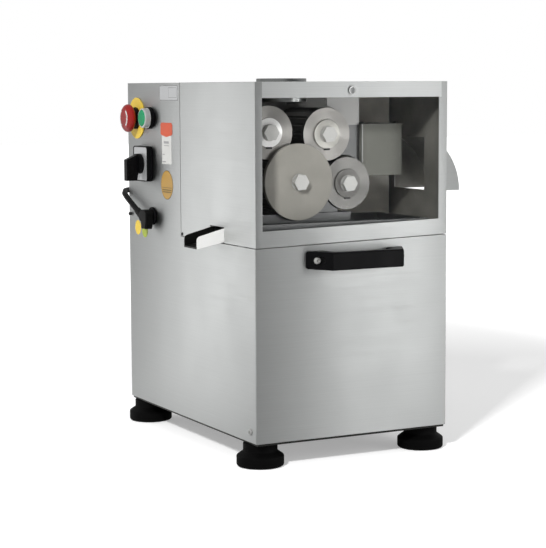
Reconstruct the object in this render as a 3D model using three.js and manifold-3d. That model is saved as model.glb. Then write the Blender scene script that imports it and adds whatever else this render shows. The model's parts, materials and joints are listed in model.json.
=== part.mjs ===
// Electric four-roller sugarcane juicer in a brushed steel cabinet.
// Millimetres, +Z up. Working axes: x runs right from the left panel's outer face, y runs back
// from the front panel's outer face, z runs up from the floor.
import * as THREE from "three";
import { mergeVertices } from "three/addons/utils/BufferGeometryUtils.js";
import Module from "manifold-3d";

const wasm = await Module();
wasm.setup();

// Cabinet
const cabinetWidth = 285;
const cabinetDepth = 410;
const panelHeight = 460;
const sheet = 1.5;
const footHeight = 31;
const baseReveal = 3;
const seam = 0.8;
const seat = 0.3;
const flangeWidth = 12;

// Hood over the mill
const hoodDepth = 227;
const hoodHeight = 209.2;
const seamRise = 7.3;
const windowLeft = 10;
const windowRight = 12.9;
const windowTop = 20.4;
const windowBottom = 21.1;
const paneThickness = 3;
const paneOverlap = 5;
const locatorWidth = 18;
const locatorHeight = 12;
const locatorThickness = 2;
const locatorPlay = 0.4;

// Four rollers, named by their place round the central one
const rollerCentreDistance = 76;
const centralX = 85;
const centralDrop = 129.5;
const rollerRadius = 34.75;
const rollerGap = 1.25;
const rollerLength = 88;
const rollerFront = 50;
const fluteDepth = 1.4;
const fluteCount = 20;
const endCollar = 6;
const flangeRadius = 50;
const flangeThickness = 6.5;
const journalRadius = 12.2;
const coreRadius = 15;
const runningGap = 0.3;
const keyWidth = 8;
const keyHeight = 3.2;
const satellites = {
  top_left: { angle: 122, plane: "A" },
  top_right: { angle: 53.5, plane: "A" },
  lower_right: { angle: -3, plane: "B" },
};

// Roller bolts
const boltFlats = 19;
const boltHeadHeight = 7;
const boltShankRadius = 6;
const boltShankLength = 20;
const endWasherRadius = 19;
const endWasherThickness = 1.6;
const washerRadius = 11;
const washerThickness = 1;

// Frame plates, bearings and gears behind the rollers
const plateThickness = 12;
const plateGap = 41;
const plateSideClear = 3;
const plateTopDrop = 12;
const plateLegWidth = 42;
const plateArchTop = 236;
const bulkheadSetback = 2;
const bearingRadius = 26;
const bearingWidth = 15;
const bearingSides = 16;
const pillarRadius = 9;
const gearModule = 4;
const gearTeeth = 19;
const gearWidth = 14;
const gearSideGap = 3;
const addendumFactor = 0.8;
const backlash = 0.5;
const bullModule = 3;
const bullTeeth = 46;
const pinionTeeth = 14;
const pinionAngle = -50;
const bullWidth = 14;
const bullSetback = 5;

// Gear motor
const gearboxWidth = 124;
const gearboxDepth = 58;
const motorRadius = 58;
const motorLength = 92;
const motorFins = 10;
const finDepth = 3;
const motorFlange = 10;
const standoffRadius = 8;
const standoffInset = 9;
const outputRadius = 10;
const outputDepth = 30;
const cowlLength = 20;
const terminalBoxWidth = 60;
const terminalBoxLength = 50;
const terminalBoxRise = 26;
const terminalBoxInset = 10;

// Guard over the gear train
const coverDrop = 3;
const coverRight = 52;
const coverSkirt = 40;

// Inner wiring
const loomRadius = 3.5;
const loomBend = 20;

// Juice path
const trayFront = 12;
const trayBack = 0.3;
const trayLeft = 6;
const trayRight = 262;
const trayWallDrop = 180.6;
const trayFloorDropLeft = 207;
const trayFloorDropRight = 195;
const traySheet = 1.5;
const spoutFront = 93;
const spoutWidth = 40;
const spoutReach = 38.5;
const spoutFall = 7.5;
const spoutTopDrop = 190;
const spoutEndWall = 16;
const spoutSheet = 2;
const notchClear = 1.5;
const strainerDrop = 171;
const strainerLip = 12;
const strainerRight = 167;
const strainerSheet = 1.5;
const slotCount = 6;
const slotWidth = 4;
const scraperBottomLift = 0.3;
const scraperTop = 22;
const scraperLeft = 16;
const scraperRight = 22;
const scraperGap = 1.2;

// Discharge of the crushed cane
const ductLeft = 186.5;
const ductRight = 251.6;
const ductFront = 60;
const ductTopDrop = 56;
const ductBottomDrop = 125;
const ductFlange = 5;
const guideLeft = 137;
const guideTopDrop = 15;
const guideClear = 2.5;
const chuteRadius = 82;
const chuteReach = 53;
const chuteFront = 50;
const chuteWidth = 85;
const chuteBottomDrop = 148;
const chuteOpeningInset = 4;

// Feed collar on the hood
const collarRadius = 33;
const collarWall = 2;
const collarRise = 4.5;
const collarY = 91;
const collarReach = 26;
const collarFlange = 9;

// Lock on the hood's top rail
const lockX = 140;
const lockDrop = 11.4;
const lockRadius = 5.7;
const lockPlugRadius = 4.4;
const lockHeadHeight = 1.2;
const tongueLength = 18;
const tongueWidth = 8;
const tongueThickness = 2;
const tongueSetback = 9;
const slotDepth = 0.7;
const keeperWidth = 12;
const keeperThickness = 2;
const keeperGap = 0.8;

// Grab handle on the lower front panel
const handleCentreX = 144;
const handleBelowSeam = 20.7;
const handleLength = 145;
const handleHeight = 23;
const handleStandoff = 36;
const handleSlant = 20;
const handleLeg = 26;
const handleGrip = 12;
const handleEdge = 1.5;
const handleFillet = 12;
const handleScrewRadius = 2.6;
const handleBoreRadius = 5;
const handleBoreDepth = 12;

// Feet
const footBaseRadius = 31;
const footNeckRadius = 22.5;
const footBaseHeight = 14;
const footConeHeight = 6;
const footStudRadius = 5;
const footStudLength = 9;
const footInsetX = 20.5;
const footInsetFront = 31;
const footInsetBack = 22;

// Controls on the left panel
const stopY = 376.5;
const stopDrop = 50.1;
const legendRadius = 29.5;
const legendThickness = 0.8;
const mushroomRadius = 20;
const mushroomBack = 9;
const mushroomReach = 22;
const stopNeckRadius = 15.5;
const startY = 327.5;
const startDrop = 49.3;
const bezelRadius = 14.6;
const bezelBack = 6;
const bezelReach = 14;
const startCapRadius = 11.5;
const startCapReach = 15;
const panelHoleRadius = 11.3;
const barrelRadius = 11;
const barrelDepth = 12;
const blockWidth = 30;
const blockHeight = 40;
const blockDepth = 42;
const pushTravel = 4;
const camY = 347.6;
const camDrop = 114.4;
const camFrame = 50;
const camFrameDepth = 8.6;
const camFrameCorner = 5;
const camKnobRadius = 14.3;
const camKnobDepth = 7;
const camLeverReach = 23;
const camLeverWidth = 12;
const camLeverDrop = 24;
const camShaftRadius = 4;
const camHoleRadius = 10;
const camBodyDepth = 55;
const camBodySize = 44;

// Power inlet, plug-in connector and mains lead
const inletY = 321.8;
const inletDrop = 187.9;
const inletRadius = 12.8;
const inletThickness = 4;
const inletBodyRadius = 8.5;
const inletBodyDepth = 26;
const connectorLength = 12;
const connectorWidth = 18;
const connectorFront = 10;
const connectorBack = 15;
const connectorChin = 18;
const connectorEdge = 1.2;
const connectorTilt = 23;
const reliefStart = 9;
const reliefLength = 25;
const reliefRadius = 6;
const reliefDrop = 7.4;
const leadRadius = 4;
const leadTurnY = 12;
const leadTurnRadius = 39;
const leadCrestRadius = 88;
const leadFallRadius = 45;
const leadFloorRadius = 45;
const leadFloorRun = 22;
const leadSides = 6;
const leadSteps = 31;
const coilTurns = 4.25;
const coilTail = 38;
const coilSides = 6;
const coilStepsPerTurn = 14;
const coilOuterRadius = 52;
const coilPitch = 8.6;
const coilX = 162;
const coilBehind = 72;
const coilStartAngle = 153;
const leadFloorClear = 0.3;
const plugLength = 34;
const plugWidth = 26;
const bladeLength = 17;

const finishes = {
  brushed_steel: { color: 0xb9bbbb, roughness: 0.36, metalness: 1 },
  turned_steel: { color: 0xa8a49d, roughness: 0.3, metalness: 1 },
  bright_steel: { color: 0xc9c9c7, roughness: 0.22, metalness: 1 },
  dark_steel: { color: 0x5d5f60, roughness: 0.5, metalness: 1 },
  black_plastic: { color: 0x141415, roughness: 0.45, metalness: 0 },
  black_rubber: { color: 0x161616, roughness: 0.8, metalness: 0 },
  clear_plastic: { color: 0xe6ecec, roughness: 0.05, metalness: 0, transparent: true, opacity: 0.25 },
  red_plastic: { color: 0x8c1c18, roughness: 0.35, metalness: 0 },
  green_plastic: { color: 0x1f8a56, roughness: 0.35, metalness: 0 },
  yellow_plastic: { color: 0xcfae3f, roughness: 0.5, metalness: 0 },
  grey_paint: { color: 0x7c8386, roughness: 0.55, metalness: 0.1 },
};

// Heights and places that follow from the sizes above
const panelBottom = footHeight + baseReveal;
const top = panelBottom + panelHeight;
const hoodBottomAt = (x) => top - hoodHeight + (seamRise * x) / cabinetWidth;
const lowerTopAt = (x) => hoodBottomAt(x) - seam;
const windowFloorAt = (x) => hoodBottomAt(x) + windowBottom;
const inner = sheet + seat;
const drop = (distance) => top - distance;
const centralZ = drop(centralDrop);
const rollerBack = rollerFront + rollerLength;
const bulkheadFront = rollerBack + bulkheadSetback;
const bulkheadBack = bulkheadFront + plateThickness;
const rearPlateFront = bulkheadBack + plateGap;
const rearPlateBack = rearPlateFront + plateThickness;
const gearPlaneA = bulkheadFront + bearingWidth + gearSideGap;
const gearPlaneB = gearPlaneA + gearWidth + gearSideGap;
const gearPlanesEnd = gearPlaneB + gearWidth;
const bullFront = rearPlateBack + bullSetback;
const bullBack = bullFront + bullWidth;
const gearboxFront = bullBack + bullSetback;
const centralBarrelRadius = rollerCentreDistance - rollerRadius - rollerGap;
const flangeFront = rollerFront - flangeThickness - 1;
const degrees = Math.PI / 180;

const machine = new THREE.Group();

// Solids

function toSolid(geometry) {
  const bare = geometry.clone();
  for (const name of Object.keys(bare.attributes)) {
    if (name !== "position") bare.deleteAttribute(name);
  }
  const merged = mergeVertices(bare, 1e-4);
  const corners = merged.index.array;
  const kept = [];
  for (let i = 0; i < corners.length; i += 3) {
    const [a, b, c] = [corners[i], corners[i + 1], corners[i + 2]];
    if (a !== b && b !== c && c !== a) kept.push(a, b, c);
  }
  const build = (triVerts) =>
    new wasm.Manifold(
      new wasm.Mesh({
        numProp: 3,
        vertProperties: new Float32Array(merged.attributes.position.array),
        triVerts: new Uint32Array(triVerts),
      }),
    );
  const solid = build(kept);
  if (solid.volume() >= 0) return solid;
  return build(kept.reverse());
}

function toGeometry(solid) {
  const mesh = solid.getMesh();
  const geometry = new THREE.BufferGeometry();
  geometry.setAttribute("position", new THREE.BufferAttribute(new Float32Array(mesh.vertProperties), 3));
  geometry.setIndex(new THREE.BufferAttribute(new Uint32Array(mesh.triVerts), 1));
  return geometry;
}

function join(...solids) {
  return solids.flat().reduce((sum, solid) => sum.add(solid));
}

function cut(solid, ...tools) {
  return tools.flat().reduce((rest, tool) => rest.subtract(tool), solid);
}

function box(x0, x1, y0, y1, z0, z1) {
  const geometry = new THREE.BoxGeometry(x1 - x0, y1 - y0, z1 - z0);
  geometry.translate((x0 + x1) / 2, (y0 + y1) / 2, (z0 + z1) / 2);
  return toSolid(geometry);
}

// Each axis takes an outline's two directions and its extrusion to x, y and z.
const outlineBases = {
  x: [new THREE.Vector3(0, 1, 0), new THREE.Vector3(0, 0, 1), new THREE.Vector3(1, 0, 0)],
  y: [new THREE.Vector3(0, 0, 1), new THREE.Vector3(1, 0, 0), new THREE.Vector3(0, 1, 0)],
  z: [new THREE.Vector3(1, 0, 0), new THREE.Vector3(0, 1, 0), new THREE.Vector3(0, 0, 1)],
};

// Extrudes an outline along an axis. Outlines along x are drawn as (y, z), along y as (z, x) and
// along z as (x, y).
function prism(axis, outline, from, to, options = {}) {
  const shape = Array.isArray(outline)
    ? new THREE.Shape(outline.map(([a, b]) => new THREE.Vector2(a, b)))
    : outline;
  const settings = { depth: to - from, bevelEnabled: false, curveSegments: 12, ...options };
  if (settings.bevelEnabled) settings.depth -= 2 * settings.bevelThickness;
  const geometry = new THREE.ExtrudeGeometry(shape, settings);
  if (settings.bevelEnabled) geometry.translate(0, 0, settings.bevelThickness);
  geometry.translate(0, 0, from);
  geometry.applyMatrix4(new THREE.Matrix4().makeBasis(...outlineBases[axis]));
  return toSolid(geometry);
}

// Revolves a profile of [radius, distance along the axis] about an axis through the given point.
function turned(axis, centre, profile, segments = 32) {
  const geometry = new THREE.LatheGeometry(profile.map(([r, s]) => new THREE.Vector2(r, s)), segments);
  if (axis === "x") geometry.rotateZ(-Math.PI / 2);
  if (axis === "z") geometry.rotateX(Math.PI / 2);
  geometry.translate(...centre);
  return toSolid(geometry);
}

function rod(axis, centre, radius, from, to, segments = 32) {
  return turned(axis, centre, [[0, from], [radius, from], [radius, to], [0, to]], segments);
}

function ring(axis, centre, bore, radius, from, to, segments = 32) {
  const profile = [
    [bore, from],
    [radius, from],
    [radius, to],
    [bore, to],
    [bore, from],
  ];
  return turned(axis, centre, profile, segments);
}

function roundedRectangle(width, height, corner, centreA = 0, centreB = 0) {
  const a = width / 2 - corner;
  const b = height / 2 - corner;
  const shape = new THREE.Shape();
  shape.absarc(centreA + a, centreB + b, corner, 0, Math.PI / 2);
  shape.absarc(centreA - a, centreB + b, corner, Math.PI / 2, Math.PI);
  shape.absarc(centreA - a, centreB - b, corner, Math.PI, 1.5 * Math.PI);
  shape.absarc(centreA + a, centreB - b, corner, 1.5 * Math.PI, 2 * Math.PI);
  return shape;
}

function piece(name, solid, finish) {
  const mesh = new THREE.Mesh(toGeometry(solid), new THREE.MeshStandardMaterial(finishes[finish]));
  mesh.name = name;
  machine.add(mesh);
  return solid;
}

// Roller centres in x and z

function satelliteCentre(angle) {
  return [
    centralX + rollerCentreDistance * Math.cos(angle * degrees),
    centralZ + rollerCentreDistance * Math.sin(angle * degrees),
  ];
}

const shaftCentres = { central: [centralX, centralZ] };
for (const [name, { angle }] of Object.entries(satellites)) shaftCentres[name] = satelliteCentre(angle);
const bullCentreDistance = (bullModule * (bullTeeth + pinionTeeth)) / 2;
const pinionCentre = [
  centralX + bullCentreDistance * Math.cos(pinionAngle * degrees),
  centralZ + bullCentreDistance * Math.sin(pinionAngle * degrees),
];

// Cabinet of bent sheet

function leftPanelHoles() {
  const through = (y, z, radius) => rod("x", [0, y, z], radius, -1, sheet + 1, 16);
  return [
    through(stopY, drop(stopDrop), panelHoleRadius),
    through(startY, drop(startDrop), panelHoleRadius),
    through(camY, drop(camDrop), camHoleRadius),
    through(inletY, drop(inletDrop), inletBodyRadius + seat),
  ];
}

// Joggled tabs inside the side panels, which the hood drops over.
function hoodLocators() {
  const tabs = [];
  for (const y of [2 * locatorWidth, hoodDepth - 2 * locatorWidth]) {
    for (const side of [0, 1]) {
      const mirror = (a, b) => (side ? [cabinetWidth - b, cabinetWidth - a] : [a, b]);
      const foot = mirror(sheet - 0.5, sheet + locatorPlay + locatorThickness);
      const tongue = mirror(sheet + locatorPlay, sheet + locatorPlay + locatorThickness);
      const rim = lowerTopAt(side * cabinetWidth);
      tabs.push(box(...foot, y, y + locatorWidth, rim - 2 * locatorHeight, rim - 1));
      tabs.push(box(...tongue, y, y + locatorWidth, rim - 2, rim + locatorHeight));
    }
  }
  return tabs;
}

function cabinetShell() {
  const front = inner;
  const rearFront = hoodDepth + seam;
  const side = (rim) => [
    [front, panelBottom],
    [cabinetDepth, panelBottom],
    [cabinetDepth, top],
    [rearFront, top],
    [rearFront, rim],
    [front, rim],
  ];
  const left = cut(prism("x", side(lowerTopAt(0)), 0, sheet), leftPanelHoles());
  const right = prism("x", side(lowerTopAt(cabinetWidth - sheet)), cabinetWidth - sheet, cabinetWidth);
  const roof = box(0, cabinetWidth, rearFront, cabinetDepth, top - sheet, top);
  const roofFlange = box(0, cabinetWidth, rearFront, rearFront + sheet, top - flangeWidth, top);
  return join(left, right, roof, roofFlange, hoodLocators());
}

function backPanel() {
  const left = inner;
  const right = cabinetWidth - inner;
  const roof = top - inner;
  const plate = box(left, right, cabinetDepth - sheet, cabinetDepth, panelBottom, roof);
  const returnsBottom = footHeight + 2 * flangeWidth + seat;
  const returns = [
    box(left, left + sheet, cabinetDepth - flangeWidth, cabinetDepth - 0.5, returnsBottom, roof),
    box(right - sheet, right, cabinetDepth - flangeWidth, cabinetDepth - 0.5, returnsBottom, roof),
  ];
  const slotLength = 62;
  const slotHeight = 5;
  const rows = 6;
  const rowPitch = 16;
  const vents = [];
  for (const x of [cabinetWidth / 2 - slotLength - 9, cabinetWidth / 2 + 9]) {
    for (let row = 0; row < rows; row++) {
      const z = panelBottom + 70 + row * rowPitch;
      vents.push(box(x, x + slotLength, cabinetDepth - sheet - 1, cabinetDepth + 1, z, z + slotHeight));
    }
  }
  return cut(join(plate, returns), vents);
}

function basePan() {
  const left = inner;
  const right = cabinetWidth - inner;
  const front = inner;
  const back = cabinetDepth - inner;
  const wall = 2 * flangeWidth;
  const outside = box(left, right, front, back, footHeight, footHeight + wall);
  const hollow = box(left + sheet, right - sheet, front + sheet, back - sheet, footHeight + sheet, footHeight + wall + 1);
  const studs = footCentres().map(([, x, y]) =>
    rod("z", [x, y, 0], footStudRadius + seat, footHeight - 1, footHeight + sheet + 1, 12),
  );
  return cut(outside, hollow, studs);
}

function frontPanel() {
  const left = inner;
  const right = cabinetWidth - inner;
  const returnsBottom = footHeight + 2 * flangeWidth + seat;
  const depth = sheet + flangeWidth;
  const band = (x0, x1, low) => [
    [low ?? lowerTopAt(x0) - sheet, x0],
    [lowerTopAt(x0), x0],
    [lowerTopAt(x1), x1],
    [low ?? lowerTopAt(x1) - sheet, x1],
  ];
  const skin = prism("y", band(0, cabinetWidth, panelBottom), 0, sheet);
  const folds = [
    prism("y", band(left, left + sheet, returnsBottom), sheet - 0.5, depth),
    prism("y", band(right - sheet, right, returnsBottom), sheet - 0.5, depth),
    prism("y", band(left, right), sheet - 0.5, depth),
  ];
  const holes = handleScrews().map(([x, z]) => rod("y", [x, 0, z], handleScrewRadius, -1, sheet + 1, 10));
  return cut(join(skin, folds), holes);
}

// Feet

function footCentres() {
  const right = cabinetWidth - footInsetX;
  const back = cabinetDepth - footInsetBack;
  return [
    ["foot_front_left", footInsetX, footInsetFront],
    ["foot_front_right", right, footInsetFront],
    ["foot_rear_left", footInsetX, back],
    ["foot_rear_right", right, back],
  ];
}

function foot(x, y) {
  const edge = 2;
  const crown = footHeight - seat;
  const profile = [
    [0, 0],
    [footBaseRadius - edge, 0],
    [footBaseRadius, edge],
    [footBaseRadius, footBaseHeight],
    [footNeckRadius, footBaseHeight + footConeHeight],
    [footNeckRadius, crown],
    [footStudRadius, crown],
    [footStudRadius, crown + footStudLength],
    [0, crown + footStudLength],
  ];
  return turned("z", [x, y, 0], profile, 22);
}

// Handle

const handleZ = lowerTopAt(handleCentreX) - handleBelowSeam;

function handleScrews() {
  const reach = handleLength / 2 - handleSlant / 2;
  return [
    [handleCentreX - reach, handleZ],
    [handleCentreX + reach, handleZ],
  ];
}

function frontHandle() {
  const half = handleLength / 2;
  const nose = half - handleSlant;
  const legInside = half - handleLeg;
  const back = -seat;
  const gripBack = -handleStandoff + handleGrip;
  const outline = new THREE.Shape();
  outline.moveTo(-half, back);
  outline.lineTo(-nose, -handleStandoff);
  outline.lineTo(nose, -handleStandoff);
  outline.lineTo(half, back);
  outline.lineTo(legInside, back);
  outline.quadraticCurveTo(legInside, gripBack, legInside - handleFillet, gripBack);
  outline.lineTo(-legInside + handleFillet, gripBack);
  outline.quadraticCurveTo(-legInside, gripBack, -legInside, back);
  outline.closePath();
  const bevel = {
    bevelEnabled: true,
    bevelThickness: handleEdge,
    bevelSize: handleEdge,
    bevelOffset: -handleEdge,
    bevelSegments: 1,
    curveSegments: 3,
  };
  const bar = prism("z", outline, handleZ - handleHeight / 2, handleZ + handleHeight / 2, bevel);
  const placed = bar.translate([handleCentreX, 0, 0]);
  const bores = handleScrews().map(([x, height]) => [
    rod("y", [x, 0, height], handleBoreRadius, -handleStandoff - 1, -handleBoreDepth, 14),
    rod("y", [x, 0, height], handleScrewRadius, -handleBoreDepth - 1, 1, 10),
  ]);
  return cut(placed, bores.flat());
}

// Mill frame

function plateOutline() {
  const left = plateSideClear;
  const right = cabinetWidth - plateSideClear;
  const foot = footHeight + sheet + seat;
  const roof = top - plateTopDrop;
  const arch = new THREE.Shape();
  arch.moveTo(foot, left + sheet);
  arch.lineTo(roof, left + sheet);
  arch.lineTo(roof, right - sheet);
  arch.lineTo(foot, right - sheet);
  arch.lineTo(foot, right - sheet - plateLegWidth);
  arch.lineTo(plateArchTop, right - sheet - plateLegWidth);
  arch.lineTo(plateArchTop, left + sheet + plateLegWidth);
  arch.lineTo(foot, left + sheet + plateLegWidth);
  arch.closePath();
  return arch;
}

function pillarCentres() {
  const left = plateSideClear + 24;
  const right = cabinetWidth - plateSideClear - 24;
  const high = top - plateTopDrop - 24;
  return [
    [left + 8, plateArchTop + 24],
    [right, plateArchTop + 24],
    [right, high],
  ];
}

function bulkheadPlate() {
  const plate = prism("y", plateOutline(), bulkheadFront, bulkheadBack);
  const bores = Object.values(shaftCentres).map(([x, z]) =>
    rod("y", [x, 0, z], bearingRadius + seat, bulkheadFront - 1, bulkheadBack + 1, bearingSides),
  );
  return cut(plate, bores);
}

function rearFramePlate() {
  const plate = prism("y", plateOutline(), rearPlateFront, rearPlateBack);
  const pillars = pillarCentres().map(([x, z]) =>
    rod("y", [x, 0, z], pillarRadius, bulkheadBack + seat, rearPlateFront + 1, 8),
  );
  const bores = Object.values(shaftCentres).map(([x, z]) =>
    rod("y", [x, 0, z], bearingRadius + seat, rearPlateFront - 1, rearPlateBack + 1, bearingSides),
  );
  return cut(join(plate, pillars), bores);
}

// A sealed ball bearing: outer race, recessed shield and inner race as one turned ring.
function bearing(x, z, from, width) {
  const bore = journalRadius + runningGap;
  const shield = 1;
  const raceIn = bore + 4;
  const raceOut = bearingRadius - 4;
  const to = from + width;
  const profile = [
    [bore, from],
    [raceIn, from],
    [(raceIn + raceOut) / 2, from + shield],
    [raceOut, from],
    [bearingRadius, from],
    [bearingRadius, to],
    [bore, to],
    [bore, from],
  ];
  return turned("y", [x, 0, z], profile, bearingSides);
}

// An outline of [z, x] points round a gear with involute flanks; phase is the angle of one tooth.
function gearOutline(module, teeth, phase, [centreX, centreZ]) {
  const pitch = (module * teeth) / 2;
  const base = pitch * Math.cos(20 * degrees);
  const root = pitch - 1.2 * module;
  const tip = pitch + addendumFactor * module;
  const involute = (radius) => {
    const pressure = Math.acos(Math.min(1, base / radius));
    return Math.tan(pressure) - pressure;
  };
  const halfAngle = (radius) =>
    Math.PI / (2 * teeth) - backlash / (2 * pitch) + involute(pitch) - involute(Math.max(base, radius));
  const radii = [root, tip];
  const points = [];
  for (let tooth = 0; tooth < teeth; tooth++) {
    const centre = phase + (tooth * 2 * Math.PI) / teeth;
    for (const radius of radii) points.push([radius, centre - halfAngle(radius)]);
    for (const radius of [...radii].reverse()) points.push([radius, centre + halfAngle(radius)]);
  }
  return points.map(([radius, angle]) => [
    centreZ + radius * Math.sin(angle),
    centreX + radius * Math.cos(angle),
  ]);
}

// A gear meshes with its driver where a tooth of one faces a space of the other.
function meshedPhase(lineAngle, driverTeeth, driverPhase, teeth) {
  const towardsGear = lineAngle - driverPhase;
  return lineAngle + Math.PI + Math.PI / teeth + (towardsGear * driverTeeth) / teeth;
}

const centralPhase = Math.PI / 2;

function rollerShaft(name) {
  const [x, z] = shaftCentres[name];
  const front = (name === "central" ? flangeFront + flangeThickness : rollerFront) + 0.7;
  const rear = name === "central" ? bullBack + 2 : rearPlateBack;
  const profile = [
    [0, front],
    [coreRadius, front],
    [coreRadius, rollerBack + 1],
    [journalRadius, rollerBack + 1],
    [journalRadius, rear],
    [0, rear],
  ];
  const core = turned("y", [x, 0, z], profile, 14);
  const key = box(
    x - keyWidth / 2,
    x + keyWidth / 2,
    front,
    rollerBack - 8,
    z - coreRadius - keyHeight,
    z - coreRadius + 3,
  );
  const wide = name === "central" || satellites[name].plane === "A";
  const from = wide ? gearPlaneA : gearPlaneB;
  const to = name === "central" || satellites[name].plane === "B" ? gearPlanesEnd : gearPlaneA + gearWidth;
  const phase =
    name === "central"
      ? centralPhase
      : meshedPhase(satellites[name].angle * degrees, gearTeeth, centralPhase, gearTeeth);
  const gear = prism("y", gearOutline(gearModule, gearTeeth, phase, [x, z]), from, to);
  const tapped = rod("y", [x, 0, z], boltShankRadius + seat, front - 1, front + boltShankLength, 12);
  return cut(join(core, key, gear), tapped);
}

// A lengthwise fluted barrel with a smooth collar at its front end.
function fluted(x, z, radius, from, to, count) {
  const points = [];
  const step = (2 * Math.PI) / count;
  const stations = [
    [0, radius],
    [0.6, radius],
    [0.8, radius - fluteDepth],
  ];
  for (let i = 0; i < count; i++) {
    for (const [share, r] of stations) {
      const angle = (i + share) * step;
      points.push([z + r * Math.sin(angle), x + r * Math.cos(angle)]);
    }
  }
  return prism("y", points, from, to);
}

function rollerSleeve(name) {
  const [x, z] = shaftCentres[name];
  const central = name === "central";
  const radius = central ? centralBarrelRadius : rollerRadius;
  const collar = rod("y", [x, 0, z], radius, rollerFront, rollerFront + endCollar, 30);
  const count = central ? Math.round((fluteCount * centralBarrelRadius) / rollerRadius) : fluteCount;
  const barrel = fluted(x, z, radius, rollerFront + endCollar - 1, rollerBack, count);
  const bore = rod("y", [x, 0, z], coreRadius + runningGap, rollerFront - 1, rollerBack + 1, 14);
  const keyway = box(
    x - keyWidth / 2 - runningGap,
    x + keyWidth / 2 + runningGap,
    rollerFront - 1,
    rollerBack + 1,
    z - coreRadius - keyHeight - runningGap,
    z,
  );
  return cut(join(collar, barrel), bore, keyway);
}

function centralFlange() {
  const [x, z] = shaftCentres.central;
  const back = flangeFront + flangeThickness;
  const bevel = 1;
  const profile = [
    [boltShankRadius + seat, flangeFront],
    [flangeRadius - bevel, flangeFront],
    [flangeRadius, flangeFront + bevel],
    [flangeRadius, back],
    [boltShankRadius + seat, back],
    [boltShankRadius + seat, flangeFront],
  ];
  return turned("y", [x, 0, z], profile, 40);
}

// Hex bolt with its washer; on the outer rollers a keyed end washer holds the sleeve as well.
function rollerBolt(name) {
  const [x, z] = shaftCentres[name];
  const central = name === "central";
  const face = (central ? flangeFront : rollerFront) - seat;
  const stack = central ? 0 : endWasherThickness;
  const headBack = face - stack - washerThickness;
  const corner = boltFlats / Math.sqrt(3);
  const hexagon = [];
  for (let i = 0; i < 6; i++) {
    const angle = i * 60 * degrees;
    hexagon.push([z + corner * Math.sin(angle), x + corner * Math.cos(angle)]);
  }
  const chamferRadius = boltFlats / 2;
  const head = prism("y", hexagon, headBack - boltHeadHeight, headBack + 0.5).intersect(
    turned(
      "y",
      [x, 0, z],
      [
        [0, headBack - boltHeadHeight],
        [chamferRadius - 0.5, headBack - boltHeadHeight],
        [corner + 0.5, headBack - boltHeadHeight + 1.6],
        [corner + 0.5, headBack + 1],
        [0, headBack + 1],
      ],
      18,
    ),
  );
  const shankEnd = face + (central ? flangeThickness : 0) + boltShankLength - 2;
  const parts = [
    head,
    rod("y", [x, 0, z], washerRadius, headBack, face - stack + 0.2, 20),
    rod("y", [x, 0, z], boltShankRadius, headBack, shankEnd, 12),
  ];
  if (!central) parts.push(rod("y", [x, 0, z], endWasherRadius, face - stack, face, 32));
  const rim = z - endWasherRadius;
  const notch = box(x - keyWidth / 2, x + keyWidth / 2, face - stack - 1, face + 1, rim - 1, rim + 1.8);
  return central ? join(parts) : cut(join(parts), notch);
}

function bullGear() {
  const outline = gearOutline(bullModule, bullTeeth, centralPhase, shaftCentres.central);
  const [x, z] = shaftCentres.central;
  const wheel = prism("y", outline, bullFront, bullBack);
  const bore = rod("y", [x, 0, z], journalRadius + seat, bullFront - 1, bullBack + 1, 20);
  const webRadius = (bullModule * bullTeeth) / 2 - 14;
  const recess = ring("y", [x, 0, z], journalRadius + 12, webRadius, bullBack - 3, bullBack + 1, 24);
  return cut(wheel, bore, recess);
}

function drivePinion() {
  const phase = meshedPhase(pinionAngle * degrees, bullTeeth, centralPhase, pinionTeeth);
  const outline = gearOutline(bullModule, pinionTeeth, phase, pinionCentre);
  const [x, z] = pinionCentre;
  const wheel = prism("y", outline, bullFront, bullBack);
  const shaft = rod("y", [x, 0, z], outputRadius, bullFront - 2, gearboxFront + outputDepth, 24);
  return join(wheel, shaft);
}

// Gear motor hung behind the rear frame plate on three standoffs.
function gearMotor() {
  const [x, z] = pinionCentre;
  const half = gearboxWidth / 2;
  const reach = half - standoffInset;
  const square = (width, corner) => roundedRectangle(width, width, corner, z, x);
  const coarse = { curveSegments: 2 };
  const flangeBack = gearboxFront + motorFlange;
  const motorFront = gearboxFront + gearboxDepth;
  const cowlBack = motorFront + motorLength;
  const cowlFront = cowlBack - cowlLength;
  const flange = prism("y", square(gearboxWidth, 10), gearboxFront, flangeBack, coarse);
  const housing = prism("y", square(gearboxWidth - 16, 16), flangeBack - 1, motorFront, coarse);
  const finned = [];
  const step = (2 * Math.PI) / motorFins;
  const stations = [
    [0, motorRadius],
    [0.4, motorRadius],
    [0.5, motorRadius - finDepth],
    [0.9, motorRadius - finDepth],
  ];
  for (let i = 0; i < motorFins; i++) {
    for (const [share, r] of stations) {
      const angle = (i + share) * step;
      finned.push([z + r * Math.sin(angle), x + r * Math.cos(angle)]);
    }
  }
  const motor = prism("y", finned, motorFront - 1, cowlFront);
  const cowl = rod("y", [x, 0, z], motorRadius + 1, cowlFront - 1, cowlBack, 20);
  const terminalBox = box(
    x - terminalBoxWidth / 2,
    x + terminalBoxWidth / 2,
    motorFront + terminalBoxInset,
    motorFront + terminalBoxInset + terminalBoxLength,
    z + motorRadius - 8,
    z + motorRadius + terminalBoxRise,
  );
  const standoffs = [[-1, -1], [1, -1], [1, 1]].map(([sx, sz]) =>
    rod("y", [x + sx * reach, 0, z + sz * reach], standoffRadius, rearPlateBack + seat, gearboxFront + 1, 10),
  );
  const boreEnd = gearboxFront + outputDepth + 1;
  const bore = rod("y", [x, 0, z], outputRadius + runningGap, gearboxFront - 1, boreEnd, 24);
  return cut(join(flange, housing, motor, cowl, terminalBox, standoffs), bore);
}

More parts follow.
